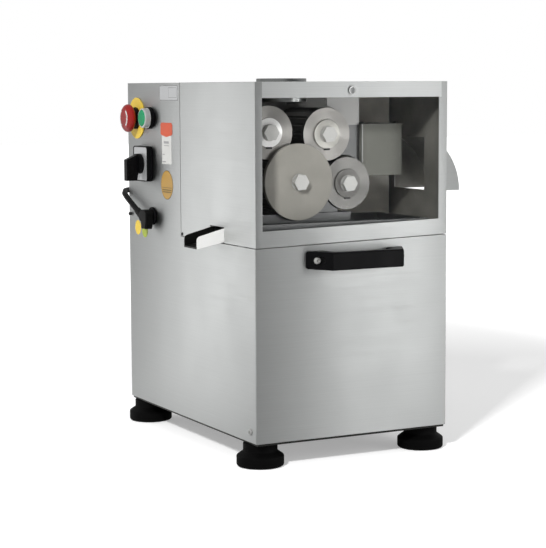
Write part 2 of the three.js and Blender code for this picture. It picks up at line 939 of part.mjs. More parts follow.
// Guard over the gear train, between the two frame plates.
function gearCover() {
  const front = bulkheadBack + seat;
  const back = rearPlateFront - seat;
  const roof = top - plateTopDrop - coverDrop;
  const left = plateSideClear;
  const right = shaftCentres.lower_right[0] + coverRight;
  const lid = box(left, right, front, back, roof - sheet, roof);
  const skirt = box(right - sheet, right, front, back, plateArchTop + coverSkirt, roof);
  return join(lid, skirt);
}

function lockKeeper() {
  const tongueCrown = drop(lockDrop) + tongueWidth / 2;
  const floor = tongueCrown + keeperGap;
  const right = lockX - tongueLength + tongueWidth;
  const left = right - keeperWidth;
  const back = bulkheadFront - seat;
  const arm = box(left, right, tongueSetback - 2, back, floor, floor + keeperThickness);
  const plateFoot = drop(plateTopDrop) - 1.5 * keeperWidth;
  const plate = box(left, right, back - sheet - 1, back, plateFoot, floor + 1);
  return join(arm, plate);
}

// Juice tray, spout, strainer and scraper

function trayFloor(x) {
  const share = (x - trayLeft) / (trayRight - trayLeft);
  return drop(trayFloorDropLeft + share * (trayFloorDropRight - trayFloorDropLeft));
}

function juiceTray() {
  const back = bulkheadFront - trayBack;
  const wallTop = drop(trayWallDrop);
  const section = [
    [trayFloor(trayLeft), trayLeft],
    [wallTop, trayLeft],
    [wallTop, trayRight],
    [trayFloor(trayRight), trayRight],
  ];
  const hollow = [
    [trayFloor(trayLeft) + traySheet, trayLeft + traySheet],
    [wallTop + 1, trayLeft + traySheet],
    [wallTop + 1, trayRight - traySheet],
    [trayFloor(trayRight) + traySheet, trayRight - traySheet],
  ];
  const body = prism("y", section, trayFront, back);
  const bay = prism("y", hollow, trayFront + traySheet, back - traySheet);
  const mouth = box(
    trayLeft - 1,
    trayLeft + traySheet + 1,
    spoutFront + spoutSheet,
    spoutFront + spoutWidth - spoutSheet,
    trayFloor(trayLeft) + traySheet,
    wallTop + 1,
  );
  const lip = box(trayLeft, trayRight, trayFront - 3, trayFront + 0.5, wallTop - sheet, wallTop);
  return cut(join(body, lip), bay, mouth);
}

function juiceSpout() {
  const root = trayLeft - seat;
  const rootFloor = trayFloor(trayLeft);
  const slope = spoutFall / spoutReach;
  const tipFloor = rootFloor - slope * (spoutReach + root);
  const rootTop = drop(spoutTopDrop);
  const corner = 5;
  const tipTop = tipFloor + spoutEndWall;
  const outline = new THREE.Shape();
  outline.moveTo(rootFloor, root);
  outline.lineTo(tipFloor, -spoutReach);
  outline.lineTo(tipTop - corner, -spoutReach);
  outline.quadraticCurveTo(tipTop, -spoutReach, tipTop + 1, -spoutReach + corner);
  outline.lineTo(rootTop, 0);
  outline.lineTo(rootTop, root);
  outline.closePath();
  const wide = prism("y", outline, spoutFront, spoutFront + spoutWidth, { curveSegments: 4 });
  const channel = [
    [rootFloor + spoutSheet, root + 1],
    [rootFloor + spoutSheet, root],
    [tipFloor + spoutSheet, -spoutReach - 1],
    [rootTop + 5, -spoutReach - 1],
    [rootTop + 5, root + 1],
  ];
  return cut(wide, prism("y", channel, spoutFront + spoutSheet, spoutFront + spoutWidth - spoutSheet));
}

// Slotted plate that stands across the tray below the rollers, with a folded front lip.
function juiceStrainer() {
  const left = trayLeft + traySheet + 1;
  const crown = drop(strainerDrop);
  const back = bulkheadFront - seat;
  const plate = box(left, strainerRight, rollerFront, back, crown - strainerSheet, crown);
  const lip = (front, low) => box(left, strainerRight, front, front + strainerSheet, low, crown);
  const frontLip = lip(rollerFront, crown - strainerLip);
  const rearLip = lip(back - strainerSheet, drop(trayWallDrop) + seat);
  const slots = [];
  const pitch = (strainerRight - left) / (slotCount + 1);
  for (let i = 1; i <= slotCount; i++) {
    const x = left + i * pitch;
    slots.push(box(x - slotWidth / 2, x + slotWidth / 2, rollerFront + 12, back - 12, crown - 3, crown + 1));
  }
  return cut(join(plate, frontLip, rearLip), slots);
}

// Wedge between the two lower rollers that wipes both barrels.
function scraperBar() {
  const [x0, z0] = shaftCentres.central;
  const [x1, z1] = shaftCentres.lower_right;
  const bottom = drop(strainerDrop) + scraperBottomLift;
  const middle = (x0 * rollerRadius + x1 * centralBarrelRadius) / (rollerRadius + centralBarrelRadius);
  const left = middle - scraperLeft;
  const right = middle + scraperRight;
  const block = box(left, right, rollerFront + 2, bulkheadFront - seat, bottom, bottom + scraperTop);
  return cut(
    block,
    rod("y", [x0, 0, z0], centralBarrelRadius + scraperGap, 0, bulkheadFront + 1, 64),
    rod("y", [x1, 0, z1], rollerRadius + scraperGap, 0, bulkheadFront + 1, 64),
  );
}

// Crushed cane guide and duct

function dischargeDuct() {
  const back = bulkheadFront - seat;
  const roof = drop(ductTopDrop);
  const floor = drop(ductBottomDrop);
  const outside = box(ductLeft, ductRight, ductFront, back, floor, roof);
  const hollow = box(ductLeft - 1, ductRight + 1, ductFront + sheet, back - sheet, floor + sheet, roof - sheet);
  const edge = box(ductLeft, ductLeft + sheet, ductFront - ductFlange, ductFront + 1, floor + 18, roof);
  const shelf = box(ductLeft, ductRight, ductFront - ductFlange, ductFront + 1, roof - sheet, roof);
  const [x, z] = shaftCentres.lower_right;
  const roller = rod("y", [x, 0, z], rollerRadius + guideClear, 0, bulkheadFront + 1, 48);
  return cut(join(cut(outside, hollow), edge, shelf), roller);
}

function guidePlate() {
  const right = ductLeft - seat;
  const crown = drop(guideTopDrop);
  const shoulder = drop(ductTopDrop);
  const low = drop(ductBottomDrop) + 6;
  const face = box(guideLeft, right, ductFront + sheet, ductFront + 2 * sheet, low, crown);
  const roof = box(guideLeft, right, ductFront + sheet, bulkheadFront - seat, crown - sheet, crown);
  const [x1, z1] = shaftCentres.top_right;
  const [x2, z2] = shaftCentres.lower_right;
  const clear = rollerRadius + guideClear;
  const wing = box(guideLeft, guideLeft + 6, ductFront, ductFront + 4, low, shoulder - 4);
  return cut(
    join(face, roof),
    rod("y", [x1, 0, z1], clear, 0, bulkheadFront + 1, 64),
    rod("y", [x2, 0, z2], clear, 0, bulkheadFront + 1, 64),
    wing,
  );
}

// Hood and what it carries

function hoodShell() {
  const outline = [
    [hoodBottomAt(0), 0],
    [top, 0],
    [top, cabinetWidth],
    [hoodBottomAt(cabinetWidth), cabinetWidth],
  ];
  const outside = prism("y", outline, 0, hoodDepth);
  const hollow = box(sheet, cabinetWidth - sheet, sheet, hoodDepth + 1, hoodBottomAt(0) - 1, top - sheet);
  const viewRight = cabinetWidth - windowRight;
  const opening = [
    [windowFloorAt(windowLeft), windowLeft],
    [drop(windowTop), windowLeft],
    [drop(windowTop), viewRight],
    [windowFloorAt(viewRight), viewRight],
  ];
  const view = prism("y", opening, -1, sheet + 1);
  const feed = rod("z", [centralX, collarY, 0], collarRadius + seat, top - sheet - 1, top + 1, 30);
  const lockHole = rod("y", [lockX, 0, drop(lockDrop)], lockPlugRadius + seat, -1, sheet + 1, 14);
  const notch = box(
    -1,
    sheet + 1,
    spoutFront - notchClear,
    spoutFront + spoutWidth + notchClear,
    hoodBottomAt(0) - 1,
    drop(spoutTopDrop) + notchClear,
  );
  const outlet = box(
    cabinetWidth - sheet - 1,
    cabinetWidth + 1,
    chuteFront + chuteOpeningInset,
    chuteFront + chuteWidth - chuteOpeningInset,
    drop(chuteBottomDrop - 2),
    drop(chuteCrownDrop() + chuteOpeningInset),
  );
  return cut(outside, hollow, view, feed, lockHole, notch, outlet);
}

function windowPane() {
  const left = windowLeft - paneOverlap;
  const right = cabinetWidth - windowRight + paneOverlap;
  const crown = drop(windowTop) + Math.min(paneOverlap, windowTop - lockDrop - lockRadius - 1);
  const outline = [
    [windowFloorAt(left) - paneOverlap, left],
    [crown, left],
    [crown, right],
    [windowFloorAt(right) - paneOverlap, right],
  ];
  return prism("y", outline, inner, inner + paneThickness);
}

function feedCollar() {
  const bore = collarRadius - collarWall;
  const under = top - sheet - seat;
  const lip = 1;
  const profile = [
    [bore, top - collarReach],
    [collarRadius, top - collarReach],
    [collarRadius, under - collarWall],
    [collarRadius + collarFlange, under - collarWall],
    [collarRadius + collarFlange, under],
    [collarRadius, under],
    [collarRadius, top + collarRise - lip],
    [collarRadius - lip / 2, top + collarRise],
    [bore, top + collarRise],
    [bore, top - collarReach],
  ];
  return turned("z", [centralX, collarY, 0], profile, 30);
}

function chuteCrownDrop() {
  const inset = chuteRadius - chuteReach;
  return chuteBottomDrop - Math.sqrt(chuteRadius ** 2 - inset ** 2);
}

// Quarter-round deflector over the outlet in the hood's right side.
function bagasseChute() {
  const wall = cabinetWidth + seat;
  const floor = drop(chuteBottomDrop);
  const centre = cabinetWidth + chuteReach - chuteRadius;
  const sector = (radius) => {
    const outline = new THREE.Shape();
    const crown = Math.sqrt(radius ** 2 - (wall - centre) ** 2);
    const start = Math.atan2(wall - centre, crown);
    outline.moveTo(floor, wall);
    outline.lineTo(floor + crown, wall);
    outline.absarc(floor, centre, radius, start, Math.PI / 2, false);
    outline.closePath();
    return outline;
  };
  const front = chuteFront + sheet;
  const back = chuteFront + chuteWidth - sheet;
  const outside = prism("y", sector(chuteRadius), chuteFront, chuteFront + chuteWidth);
  const hollow = prism("y", sector(chuteRadius - sheet), front, back);
  const open = box(wall - 1, wall + 2, front, back, floor - 1, drop(chuteCrownDrop() + 6));
  const below = box(wall - 1, cabinetWidth + chuteReach - sheet, front, back, floor - 1, floor + 1);
  return cut(outside, hollow, open, below);
}

function lockCam() {
  const z = drop(lockDrop);
  const back = tongueSetback + tongueThickness;
  const head = rod("y", [lockX, 0, z], lockRadius, -seat - lockHeadHeight, -seat, 20);
  const plug = rod("y", [lockX, 0, z], lockPlugRadius, -seat - 0.5, back + 1.5, 14);
  const tongue = box(lockX, lockX + tongueLength, tongueSetback, back, z - tongueWidth / 2, z + tongueWidth / 2);
  const slot = box(
    lockX - 0.8,
    lockX + 0.8,
    -seat - lockHeadHeight - 1,
    -seat - lockHeadHeight + slotDepth,
    z - lockRadius + 1.2,
    z + lockRadius - 1.2,
  );
  return cut(join(head, plug, tongue), slot);
}

// Controls: x is negative outside the left panel

function stopBase() {
  const centre = [0, stopY, drop(stopDrop)];
  const z = drop(stopDrop);
  const stem = barrelRadius - 3;
  const legend = rod("x", centre, legendRadius, -seat - legendThickness, -seat, 28);
  const neck = rod("x", centre, stopNeckRadius, -mushroomBack + pushTravel + 0.5, -seat, 20);
  const barrel = rod("x", centre, barrelRadius, -1, sheet + barrelDepth, 20);
  const nut = rod("x", centre, barrelRadius + 4, sheet + seat, sheet + seat + 4, 6);
  const block = box(
    sheet + barrelDepth - 1,
    sheet + blockDepth,
    stopY - blockWidth / 2,
    stopY + blockWidth / 2,
    z - blockHeight / 2,
    z + blockHeight / 2,
  );
  const bore = rod("x", centre, stem + runningGap, -mushroomBack - 1, sheet + barrelDepth - 2, 20);
  return cut(join(legend, neck, barrel, nut, block), bore);
}

function stopButton() {
  const centre = [0, stopY, drop(stopDrop)];
  const stem = barrelRadius - 3;
  const rim = mushroomRadius;
  const profile = [
    [0, -mushroomReach],
    [rim * 0.62, -mushroomReach + 0.6],
    [rim * 0.86, -mushroomReach + 2.2],
    [rim, -mushroomReach + 5.4],
    [rim, -mushroomBack - 3.2],
    [rim * 0.88, -mushroomBack - 0.8],
    [stem + 3, -mushroomBack],
    [stem, -mushroomBack],
    [stem, -mushroomBack + pushTravel + 5],
    [0, -mushroomBack + pushTravel + 5],
  ];
  return turned("x", centre, profile, 24);
}

function startBase() {
  const centre = [0, startY, drop(startDrop)];
  const z = drop(startDrop);
  const bore = startCapRadius + runningGap;
  const shell = turned(
    "x",
    centre,
    [
      [0, sheet + barrelDepth],
      [barrelRadius, sheet + barrelDepth],
      [barrelRadius, -seat],
      [bezelRadius, -seat],
      [bezelRadius, -bezelBack],
      [bezelRadius - 0.8, -bezelBack - 0.2],
      [bezelRadius - 0.8, -bezelReach + 1],
      [bezelRadius - 1.8, -bezelReach],
      [bore, -bezelReach],
      [bore, -bezelBack],
      [0, -bezelBack],
    ],
    24,
  );
  const block = box(
    sheet + barrelDepth - 1,
    sheet + blockDepth,
    startY - blockWidth / 2 + 8,
    startY + blockWidth / 2 - 8,
    z - blockHeight / 2,
    z + blockHeight / 2,
  );
  return join(shell, block);
}

function startButton() {
  const centre = [0, startY, drop(startDrop)];
  const back = -bezelBack - pushTravel + 1;
  const profile = [
    [0, -startCapReach],
    [startCapRadius - 1, -startCapReach],
    [startCapRadius, -startCapReach + 1],
    [startCapRadius, back],
    [0, back],
  ];
  return turned("x", centre, profile, 24);
}

function camSwitchBody() {
  const z = drop(camDrop);
  const square = (width, corner) => roundedRectangle(width, width, corner, camY, z);
  const rimWidth = 1.5;
  const plate = square(camFrame - 2 * rimWidth, camFrameCorner - rimWidth);
  const frame = prism("x", square(camFrame, camFrameCorner), -camFrameDepth, -seat, { curveSegments: 3 });
  const recess = prism("x", plate, -camFrameDepth - 1, -camFrameDepth + 0.6, { curveSegments: 2 });
  const neck = rod("x", [0, camY, z], camHoleRadius - seat, -1, sheet + 4, 24);
  const body = box(
    sheet + 3,
    sheet + camBodyDepth,
    camY - camBodySize / 2,
    camY + camBodySize / 2,
    z - camBodySize / 2,
    z + camBodySize / 2,
  );
  const bore = rod("x", [0, camY, z], camShaftRadius + runningGap, -camFrameDepth - 1, 8, 14);
  return cut(join(frame, neck, body), recess, bore);
}

// Rotary switch grip: a round hub and a lever that hangs down, its crest slanting outwards.
function camKnob() {
  const z = drop(camDrop);
  const face = -camFrameDepth + 0.6 - seat;
  const hub = rod("x", [0, camY, z], camKnobRadius, face - camKnobDepth, face, 36);
  const shaft = rod("x", [0, camY, z], camShaftRadius, face - 1, 7, 14);
  const outer = face - camLeverReach;
  const outline = [
    [z + camKnobRadius - 0.6, face - camKnobDepth + 2],
    [z + 6, outer],
    [z - camLeverDrop, outer],
    [z - camLeverDrop, face - camKnobDepth],
    [z - camKnobRadius + 2, face - camKnobDepth + 2],
  ];
  const lever = prism("y", outline, camY - camLeverWidth / 2, camY + camLeverWidth / 2, {
    bevelEnabled: true,
    bevelThickness: 1,
    bevelSize: 1,
    bevelOffset: -1,
    bevelSegments: 1,
  });
  return join(hub, shaft, lever);
}

// Power inlet and the mains lead

function powerInlet() {
  const centre = [0, inletY, drop(inletDrop)];
  const profile = [
    [0, sheet + inletBodyDepth],
    [inletBodyRadius, sheet + inletBodyDepth],
    [inletBodyRadius, -seat],
    [inletRadius, -seat],
    [inletRadius, -inletThickness + 1],
    [inletRadius - 1, -inletThickness],
    [0, -inletThickness],
  ];
  return turned("x", centre, profile, 24);
}

const tilt = connectorTilt * degrees;
const tailDirection = new THREE.Vector3(0, Math.cos(tilt), Math.sin(tilt));
const tailNormal = new THREE.Vector3(0, -Math.sin(tilt), Math.cos(tilt));

// Elbow connector pushed on the inlet, with a chin below; its tapered tail points up to the back.
function cordConnector() {
  const back = -inletThickness - seat;
  const half = connectorWidth / 2;
  const outline = [
    [connectorBack - connectorWidth / 3, half],
    [connectorBack, half / 2],
    [connectorBack, -half * 0.7],
    [connectorBack - connectorWidth / 3, -half],
    [connectorBack - connectorWidth * 0.4, -connectorChin],
    [-connectorFront * 0.6, -connectorChin],
    [-connectorFront, -half * 0.8],
    [-connectorFront, half * 0.6],
    [-connectorFront * 0.6, half],
  ];
  const body = prism("x", outline, back - connectorLength, back, {
    bevelEnabled: true,
    bevelThickness: connectorEdge,
    bevelSize: connectorEdge,
    bevelOffset: -connectorEdge,
    bevelSegments: 1,
  });
  const profile = [
    [0, reliefStart],
    [reliefRadius, reliefStart],
    [leadRadius + 0.8, reliefStart + reliefLength],
    [0, reliefStart + reliefLength],
  ];
  const relief = turned("y", [0, 0, -reliefDrop], profile, 16).rotate([connectorTilt, 0, 0]);
  return join(body, relief.translate([cordX, 0, 0])).translate([0, inletY, drop(inletDrop)]);
}

// Smooth path led by its points: a cubic B-spline that begins at the first and ends at the last.
class SmoothPath extends THREE.Curve {
  constructor(points) {
    super();
    this.points = points;
  }

  getPoint(share) {
    const last = this.points.length - 1;
    const place = Math.min(share, 1 - 1e-9) * (last + 2);
    const span = Math.floor(place);
    const t = place - span;
    const weights = [
      (1 - t) ** 3,
      3 * t ** 3 - 6 * t ** 2 + 4,
      -3 * t ** 3 + 3 * t ** 2 + 3 * t + 1,
      t ** 3,
    ];
    const point = new THREE.Vector3();
    weights.forEach((weight, i) => {
      const index = THREE.MathUtils.clamp(span + i - 2, 0, last);
      point.addScaledVector(this.points[index], weight / 6);
    });
    return point;
  }
}

function tube(path, radius, sides, steps) {
  const section = new THREE.Shape();
  for (let i = 0; i < sides; i++) {
    const angle = (i * 2 * Math.PI) / sides;
    const point = [radius * Math.cos(angle), radius * Math.sin(angle)];
    if (i === 0) section.moveTo(...point);
    else section.lineTo(...point);
  }
  section.closePath();
  return toSolid(new THREE.ExtrudeGeometry(section, { steps, extrudePath: path, bevelEnabled: false }));
}

const cordX = -inletThickness - seat - connectorLength / 2;
const coilCentre = [coilX, cabinetDepth + coilBehind];
const coilAxisZ = leadRadius + leadFloorClear;

// The lead's free stretch: up to the rear edge and round it, down behind the back panel in one
// long fall, and along the floor to the coil.
function leadRoute() {
  const start = new THREE.Vector3(cordX, inletY, drop(inletDrop))
    .addScaledVector(tailDirection, reliefStart + reliefLength + seat)
    .addScaledVector(tailNormal, -reliefDrop);
  const turnY = cabinetDepth - leadTurnY;
  const turn = start.clone().addScaledVector(tailDirection, (turnY - start.y) / tailDirection.y);
  const points = [start, start.clone().addScaledVector(tailDirection, 2 * leadRadius), turn];

  const slope = Math.tan(tilt);
  const quarter = 4;
  for (let i = 1; i <= quarter; i++) {
    const angle = ((i / quarter) * Math.PI) / 2;
    const run = angle * leadTurnRadius;
    points.push(
      new THREE.Vector3(
        turn.x + leadTurnRadius * (1 - Math.cos(angle)),
        turn.y + leadTurnRadius * Math.sin(angle),
        turn.z + slope * run - run ** 2 / (2 * leadCrestRadius),
      ),
    );
  }

  const heading = coilPoint(0.01).sub(coilPoint(0)).normalize();
  const along = (distance) => coilPoint(0).addScaledVector(heading, -distance);
  const floorArc = (angle) => {
    const back = leadFloorRun + leadFloorRadius * Math.cos(angle);
    return along(back).setZ(coilAxisZ + leadFloorRadius * (1 - Math.sin(angle)));
  };
  const crest = points[points.length - 1];
  const foot = floorArc(0);
  const sideways = new THREE.Vector3(foot.x - crest.x, foot.y - crest.y, 0).normalize();
  const steep = Math.atan2(crest.z - foot.z, Math.hypot(foot.x - crest.x, foot.y - crest.y));
  const first = Math.atan((Math.PI / 2) * (leadTurnRadius / leadCrestRadius) - slope);
  for (let i = 1; i <= 3; i++) {
    const angle = first + ((steep - first) * i) / 3;
    points.push(
      crest
        .clone()
        .addScaledVector(sideways, leadFallRadius * (Math.sin(angle) - Math.sin(first)))
        .setZ(crest.z + leadFallRadius * (Math.cos(angle) - Math.cos(first))),
    );
  }
  const fall = points[points.length - 1];
  for (let i = 1; i <= 3; i++) points.push(fall.clone().lerp(foot, i / 4));
  for (let i = 0; i <= quarter; i++) points.push(floorArc(((i / quarter) * Math.PI) / 2));
  return [...points, along(2 * leadRadius), along(seat)];
}

// Centre line of the coil, by turns made: inwards on the floor, outwards on top, then straight on.
function coilPoint(turn) {
  if (turn > coilTurns) {
    const end = coilPoint(coilTurns);
    const heading = end.clone().sub(coilPoint(coilTurns - 0.01)).setZ(0).normalize();
    return end.addScaledVector(heading, (turn - coilTurns) * 2 * Math.PI * coilOuterRadius);
  }
  const radius = coilOuterRadius - coilPitch * Math.min(turn, coilTurns - turn);
  const climb = THREE.MathUtils.clamp((turn - coilTurns / 2) / 0.5 + 0.5, 0, 1);
  const angle = coilStartAngle * degrees - 2 * Math.PI * turn;
  return new THREE.Vector3(
    coilCentre[0] + radius * Math.cos(angle),
    coilCentre[1] + radius * Math.sin(angle),
    coilAxisZ + coilPitch * climb,
  );
}

const coilEnd = coilTurns + coilTail / (2 * Math.PI * coilOuterRadius);

// Steps evenly by angle, so that the facets of neighbouring turns lie side by side.
class CoilCurve extends THREE.Curve {
  getPoint(share) {
    return coilPoint(share * coilEnd);
  }

  getPointAt(share) {
    return this.getPoint(share);
  }

  getTangentAt(share) {
    return this.getTangent(share);
  }
}

function coilSolid() {
  return tube(new CoilCurve(), leadRadius, coilSides, Math.round(coilEnd * coilStepsPerTurn));
}

function leastCoilGap() {
  const perTurn = 72;
  const samples = Math.floor(coilEnd * perTurn);
  const points = Array.from({ length: samples + 1 }, (_, i) => coilPoint(i / perTurn));
  let least = Infinity;
  for (let i = 0; i <= samples; i++) {
    for (let j = i + perTurn / 2; j <= samples; j++) {
      least = Math.min(least, points[i].distanceTo(points[j]));
    }
  }
  return least - 2 * leadRadius;
}

function mainsPlug() {
  const end = coilPoint(coilEnd);
  const direction = end.clone().sub(coilPoint(coilEnd - 0.01));
  const heading = Math.atan2(direction.y, direction.x) / degrees;
  const base = seat;
  const nose = base + plugLength;
  const half = end.z - leadFloorClear;
  const profile = [
    [0, base],
    [leadRadius + 1, base],
    [leadRadius + 3, base + 16],
    [0, base + 16],
  ];
  const relief = turned("x", [0, 0, 0], profile, 14);
  const side = [
    [base + 12, -plugWidth / 4],
    [base + 20, -plugWidth / 2],
    [nose, -plugWidth / 2],
    [nose, plugWidth / 2],
    [base + 20, plugWidth / 2],
    [base + 12, plugWidth / 4],
  ];
  const body = prism("z", side, -half, half);
  const blades = [-6.35, 6.35].map((y) => box(nose - 1, nose + bladeLength, y - 0.8, y + 0.8, 0, 6.5));
  const earth = rod("x", [0, 0, -6], 2.4, nose - 1, nose + bladeLength + 3, 12);
  const lying = join(relief, body, blades, earth).rotate([0, 0, heading]);
  return lying.translate([end.x, end.y, end.z]);
}

// Wiring from the inlet, up inside the left panel, to the motor's terminal box.
function wiringLoom() {
  const [motorX, motorZ] = pinionCentre;
  const start = new THREE.Vector3(sheet + inletBodyDepth + seat, inletY, drop(inletDrop));
  const boxY = gearboxFront + gearboxDepth + terminalBoxInset + 1.5 * loomBend;
  const boxZ = motorZ + motorRadius + terminalBoxRise / 2;
  const end = new THREE.Vector3(motorX - terminalBoxWidth / 2 - seat, boxY, boxZ);
  const points = [
    start,
    start.clone().add(new THREE.Vector3(loomBend, 0, 0)),
    start.clone().add(new THREE.Vector3(2 * loomBend, 0.3 * loomBend, 2 * loomBend)),
    start.clone().add(new THREE.Vector3(2.4 * loomBend, loomBend, 3.4 * loomBend)),
    end.clone().add(new THREE.Vector3(-0.6 * loomBend, 0, 0)),
    end,
  ];
  return tube(new THREE.CatmullRomCurve3(points, false, "centripetal"), loomRadius, 6, 14);
}

// The assembly

piece("cabinet_shell", cabinetShell(), "brushed_steel");
piece("back_panel", backPanel(), "brushed_steel");
piece("base_pan", basePan(), "dark_steel");
piece("front_panel", frontPanel(), "brushed_steel");
piece("front_handle", frontHandle(), "black_plastic");
for (const [name, x, y] of footCentres()) piece(name, foot(x, y), "black_rubber");

piece("bulkhead_plate", bulkheadPlate(), "dark_steel");
piece("rear_frame_plate", rearFramePlate(), "dark_steel");
for (const [name, [x, z]] of Object.entries(shaftCentres)) {
  const rearWidth = plateThickness;
  piece("front_bearing_" + name, bearing(x, z, bulkheadFront, bearingWidth), "bright_steel");
  piece("rear_bearing_" + name, bearing(x, z, rearPlateFront, rearWidth), "bright_steel");
  piece("roller_" + name, rollerSleeve(name), "turned_steel");
  piece("shaft_" + name, rollerShaft(name), "turned_steel");
  piece("bolt_" + name, rollerBolt(name), "bright_steel");
}
piece("central_flange", centralFlange(), "turned_steel");
piece("bull_gear", bullGear(), "dark_steel");
piece("drive_pinion", drivePinion(), "dark_steel");
piece("gear_motor", gearMotor(), "grey_paint");
piece("gear_cover", gearCover(), "brushed_steel");
piece("lock_keeper", lockKeeper(), "brushed_steel");

piece("juice_tray", juiceTray(), "brushed_steel");
piece("juice_spout", juiceSpout(), "brushed_steel");
piece("juice_strainer", juiceStrainer(), "brushed_steel");
piece("scraper_bar", scraperBar(), "brushed_steel");
piece("discharge_duct", dischargeDuct(), "brushed_steel");
piece("guide_plate", guidePlate(), "brushed_steel");

piece("hood_shell", hoodShell(), "brushed_steel");
piece("window_pane", windowPane(), "clear_plastic");
piece("feed_collar", feedCollar(), "bright_steel");
piece("bagasse_chute", bagasseChute(), "brushed_steel");
piece("lock_cam", lockCam(), "bright_steel");

piece("estop_base", stopBase(), "yellow_plastic");
piece("estop_button", stopButton(), "red_plastic");
piece("start_button_base", startBase(), "bright_steel");
piece("start_button", startButton(), "green_plastic");
piece("cam_switch_body", camSwitchBody(), "black_plastic");
piece("cam_switch_knob", camKnob(), "black_plastic");

piece("power_inlet", powerInlet(), "black_plastic");
piece("cord_connector", cordConnector(), "black_plastic");
const leadPath = new SmoothPath(leadRoute());
piece("mains_lead", tube(leadPath, leadRadius, leadSides, leadSteps), "black_rubber");
piece("mains_lead_coil", coilSolid(), "black_rubber");
piece("mains_plug", mainsPlug(), "black_rubber");
piece("wiring_loom", wiringLoom(), "black_rubber");
console.log("least gap between the coil's turns: " + leastCoilGap().toFixed(2) + " mm");

// The origin lies under the middle of the juicer itself, at floor level.
const left = -spoutReach;
const right = cabinetWidth + chuteReach;
const front = -handleStandoff;
const back = cabinetDepth - footInsetBack + footBaseRadius;
machine.position.set(-(left + right) / 2, -(front + back) / 2, 0);

const part = new THREE.Group();
part.add(machine);
export default part;
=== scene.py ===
import json
import math

import bmesh
import bpy
from mathutils import Matrix, Vector

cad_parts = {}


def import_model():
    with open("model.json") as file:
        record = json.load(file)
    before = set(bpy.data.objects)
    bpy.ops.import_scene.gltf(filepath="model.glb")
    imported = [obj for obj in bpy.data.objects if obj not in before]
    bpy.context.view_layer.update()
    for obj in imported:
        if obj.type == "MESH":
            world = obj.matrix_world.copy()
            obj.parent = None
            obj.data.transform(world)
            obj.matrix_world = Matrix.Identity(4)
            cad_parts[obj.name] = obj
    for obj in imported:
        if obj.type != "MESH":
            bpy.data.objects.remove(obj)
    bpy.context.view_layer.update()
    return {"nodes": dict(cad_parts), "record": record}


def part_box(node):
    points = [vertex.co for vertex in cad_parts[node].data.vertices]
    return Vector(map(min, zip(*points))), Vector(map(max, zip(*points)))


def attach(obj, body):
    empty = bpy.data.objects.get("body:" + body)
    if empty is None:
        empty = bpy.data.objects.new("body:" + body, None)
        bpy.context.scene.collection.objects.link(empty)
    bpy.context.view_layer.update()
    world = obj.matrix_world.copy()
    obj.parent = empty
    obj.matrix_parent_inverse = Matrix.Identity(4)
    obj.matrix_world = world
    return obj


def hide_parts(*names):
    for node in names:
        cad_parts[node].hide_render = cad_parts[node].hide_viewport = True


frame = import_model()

# Electric four-roller sugarcane juicer. Working axes in millimetres: x right from the left panel's
# outer face, y back from the front panel's outer face, z up from the floor.


def millimetres(metres):
    """A measure of the frame, freed from the last digits of its mesh."""
    return round(metres * 1000, 3)


front_low, front_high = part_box("front_panel")
shell_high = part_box("cabinet_shell")[1]
SHIFT = (-millimetres(front_low[0]), -millimetres(front_low[1]), 0)
PANEL_BOTTOM = millimetres(front_low[2])
WIDTH = millimetres(front_high[0] - front_low[0])
DEPTH = millimetres(shell_high[1] - front_low[1])
TOP = millimetres(shell_high[2])
SHEET = 1.5
SEAT = 0.3


def at(x, y, z):
    return Vector(((x - SHIFT[0]) / 1000, (y - SHIFT[1]) / 1000, z / 1000))


def working(place):
    """A place in the frame's metres, in working millimetres."""
    return [c * 1000 + s for c, s in zip(place, SHIFT)]


def box_of(node):
    """The lowest and the highest corner of a CAD node."""
    return [working(corner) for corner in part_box(node)]


def middle_of(node):
    return [(a + b) / 2 for a, b in zip(*box_of(node))]


def axis_of(joint):
    """A point on a joint's axis."""
    joints = frame["record"]["behaviour"]["joints"]
    return working(next(j["pos_m"] for j in joints if j["name"] == joint))


ROLLERS = {}
for key in ("central", "top_left", "top_right", "lower_right"):
    place = axis_of(key + "_spin")
    ROLLERS[key] = (place[0], place[2])


# Camera, fitted to the cabinet's edges in the photo

YAW = 27.39
PITCH = 6.21
ROLL = -0.28
CAMERA_PLACE = (-966.6, -1912.4, 452.3 + PANEL_BOTTOM)
FOCAL_PIXELS = 1711
PHOTO_PIXELS = 548
SENSOR = 36
FAR_CLIP = 50


def photo_camera():
    yaw, pitch, roll = (math.radians(angle) for angle in (YAW, PITCH, ROLL))
    forward = Vector((math.sin(yaw) * math.cos(pitch), math.cos(yaw) * math.cos(pitch), -math.sin(pitch)))
    level = Vector((math.cos(yaw), -math.sin(yaw), 0))
    down = forward.cross(level)
    right = level * math.cos(roll) - down * math.sin(roll)
    under = level * math.sin(roll) + down * math.cos(roll)
    data = bpy.data.cameras.new("photo_camera")
    data.lens = FOCAL_PIXELS / PHOTO_PIXELS * SENSOR
    data.sensor_width = SENSOR
    data.clip_end = FAR_CLIP
    camera = bpy.data.objects.new("photo_camera", data)
    turn = Matrix((right, -under, -forward)).transposed().to_4x4()
    camera.matrix_world = Matrix.Translation(at(*CAMERA_PLACE)) @ turn
    bpy.context.scene.collection.objects.link(camera)
    bpy.context.scene.camera = camera


photo_camera()


# Materials; colours are sRGB values from 0 to 255

GRAIN_SCALE = (9, 9, 1400)
WEAR_SCALE = (14, 14, 9)
PATCH_SCALE = (16, 16, 16)
RING_SCALE = 1500.0
GRAIN_DARK = 0.05
GRAIN_LIGHT = 0.03
GRAIN_GLOSS = 0.04
GRAIN_BUMP = 0.06
WEAR_GLOSS = 0.02
RING_GLOSS = 0.06
RING_BUMP = 0.08


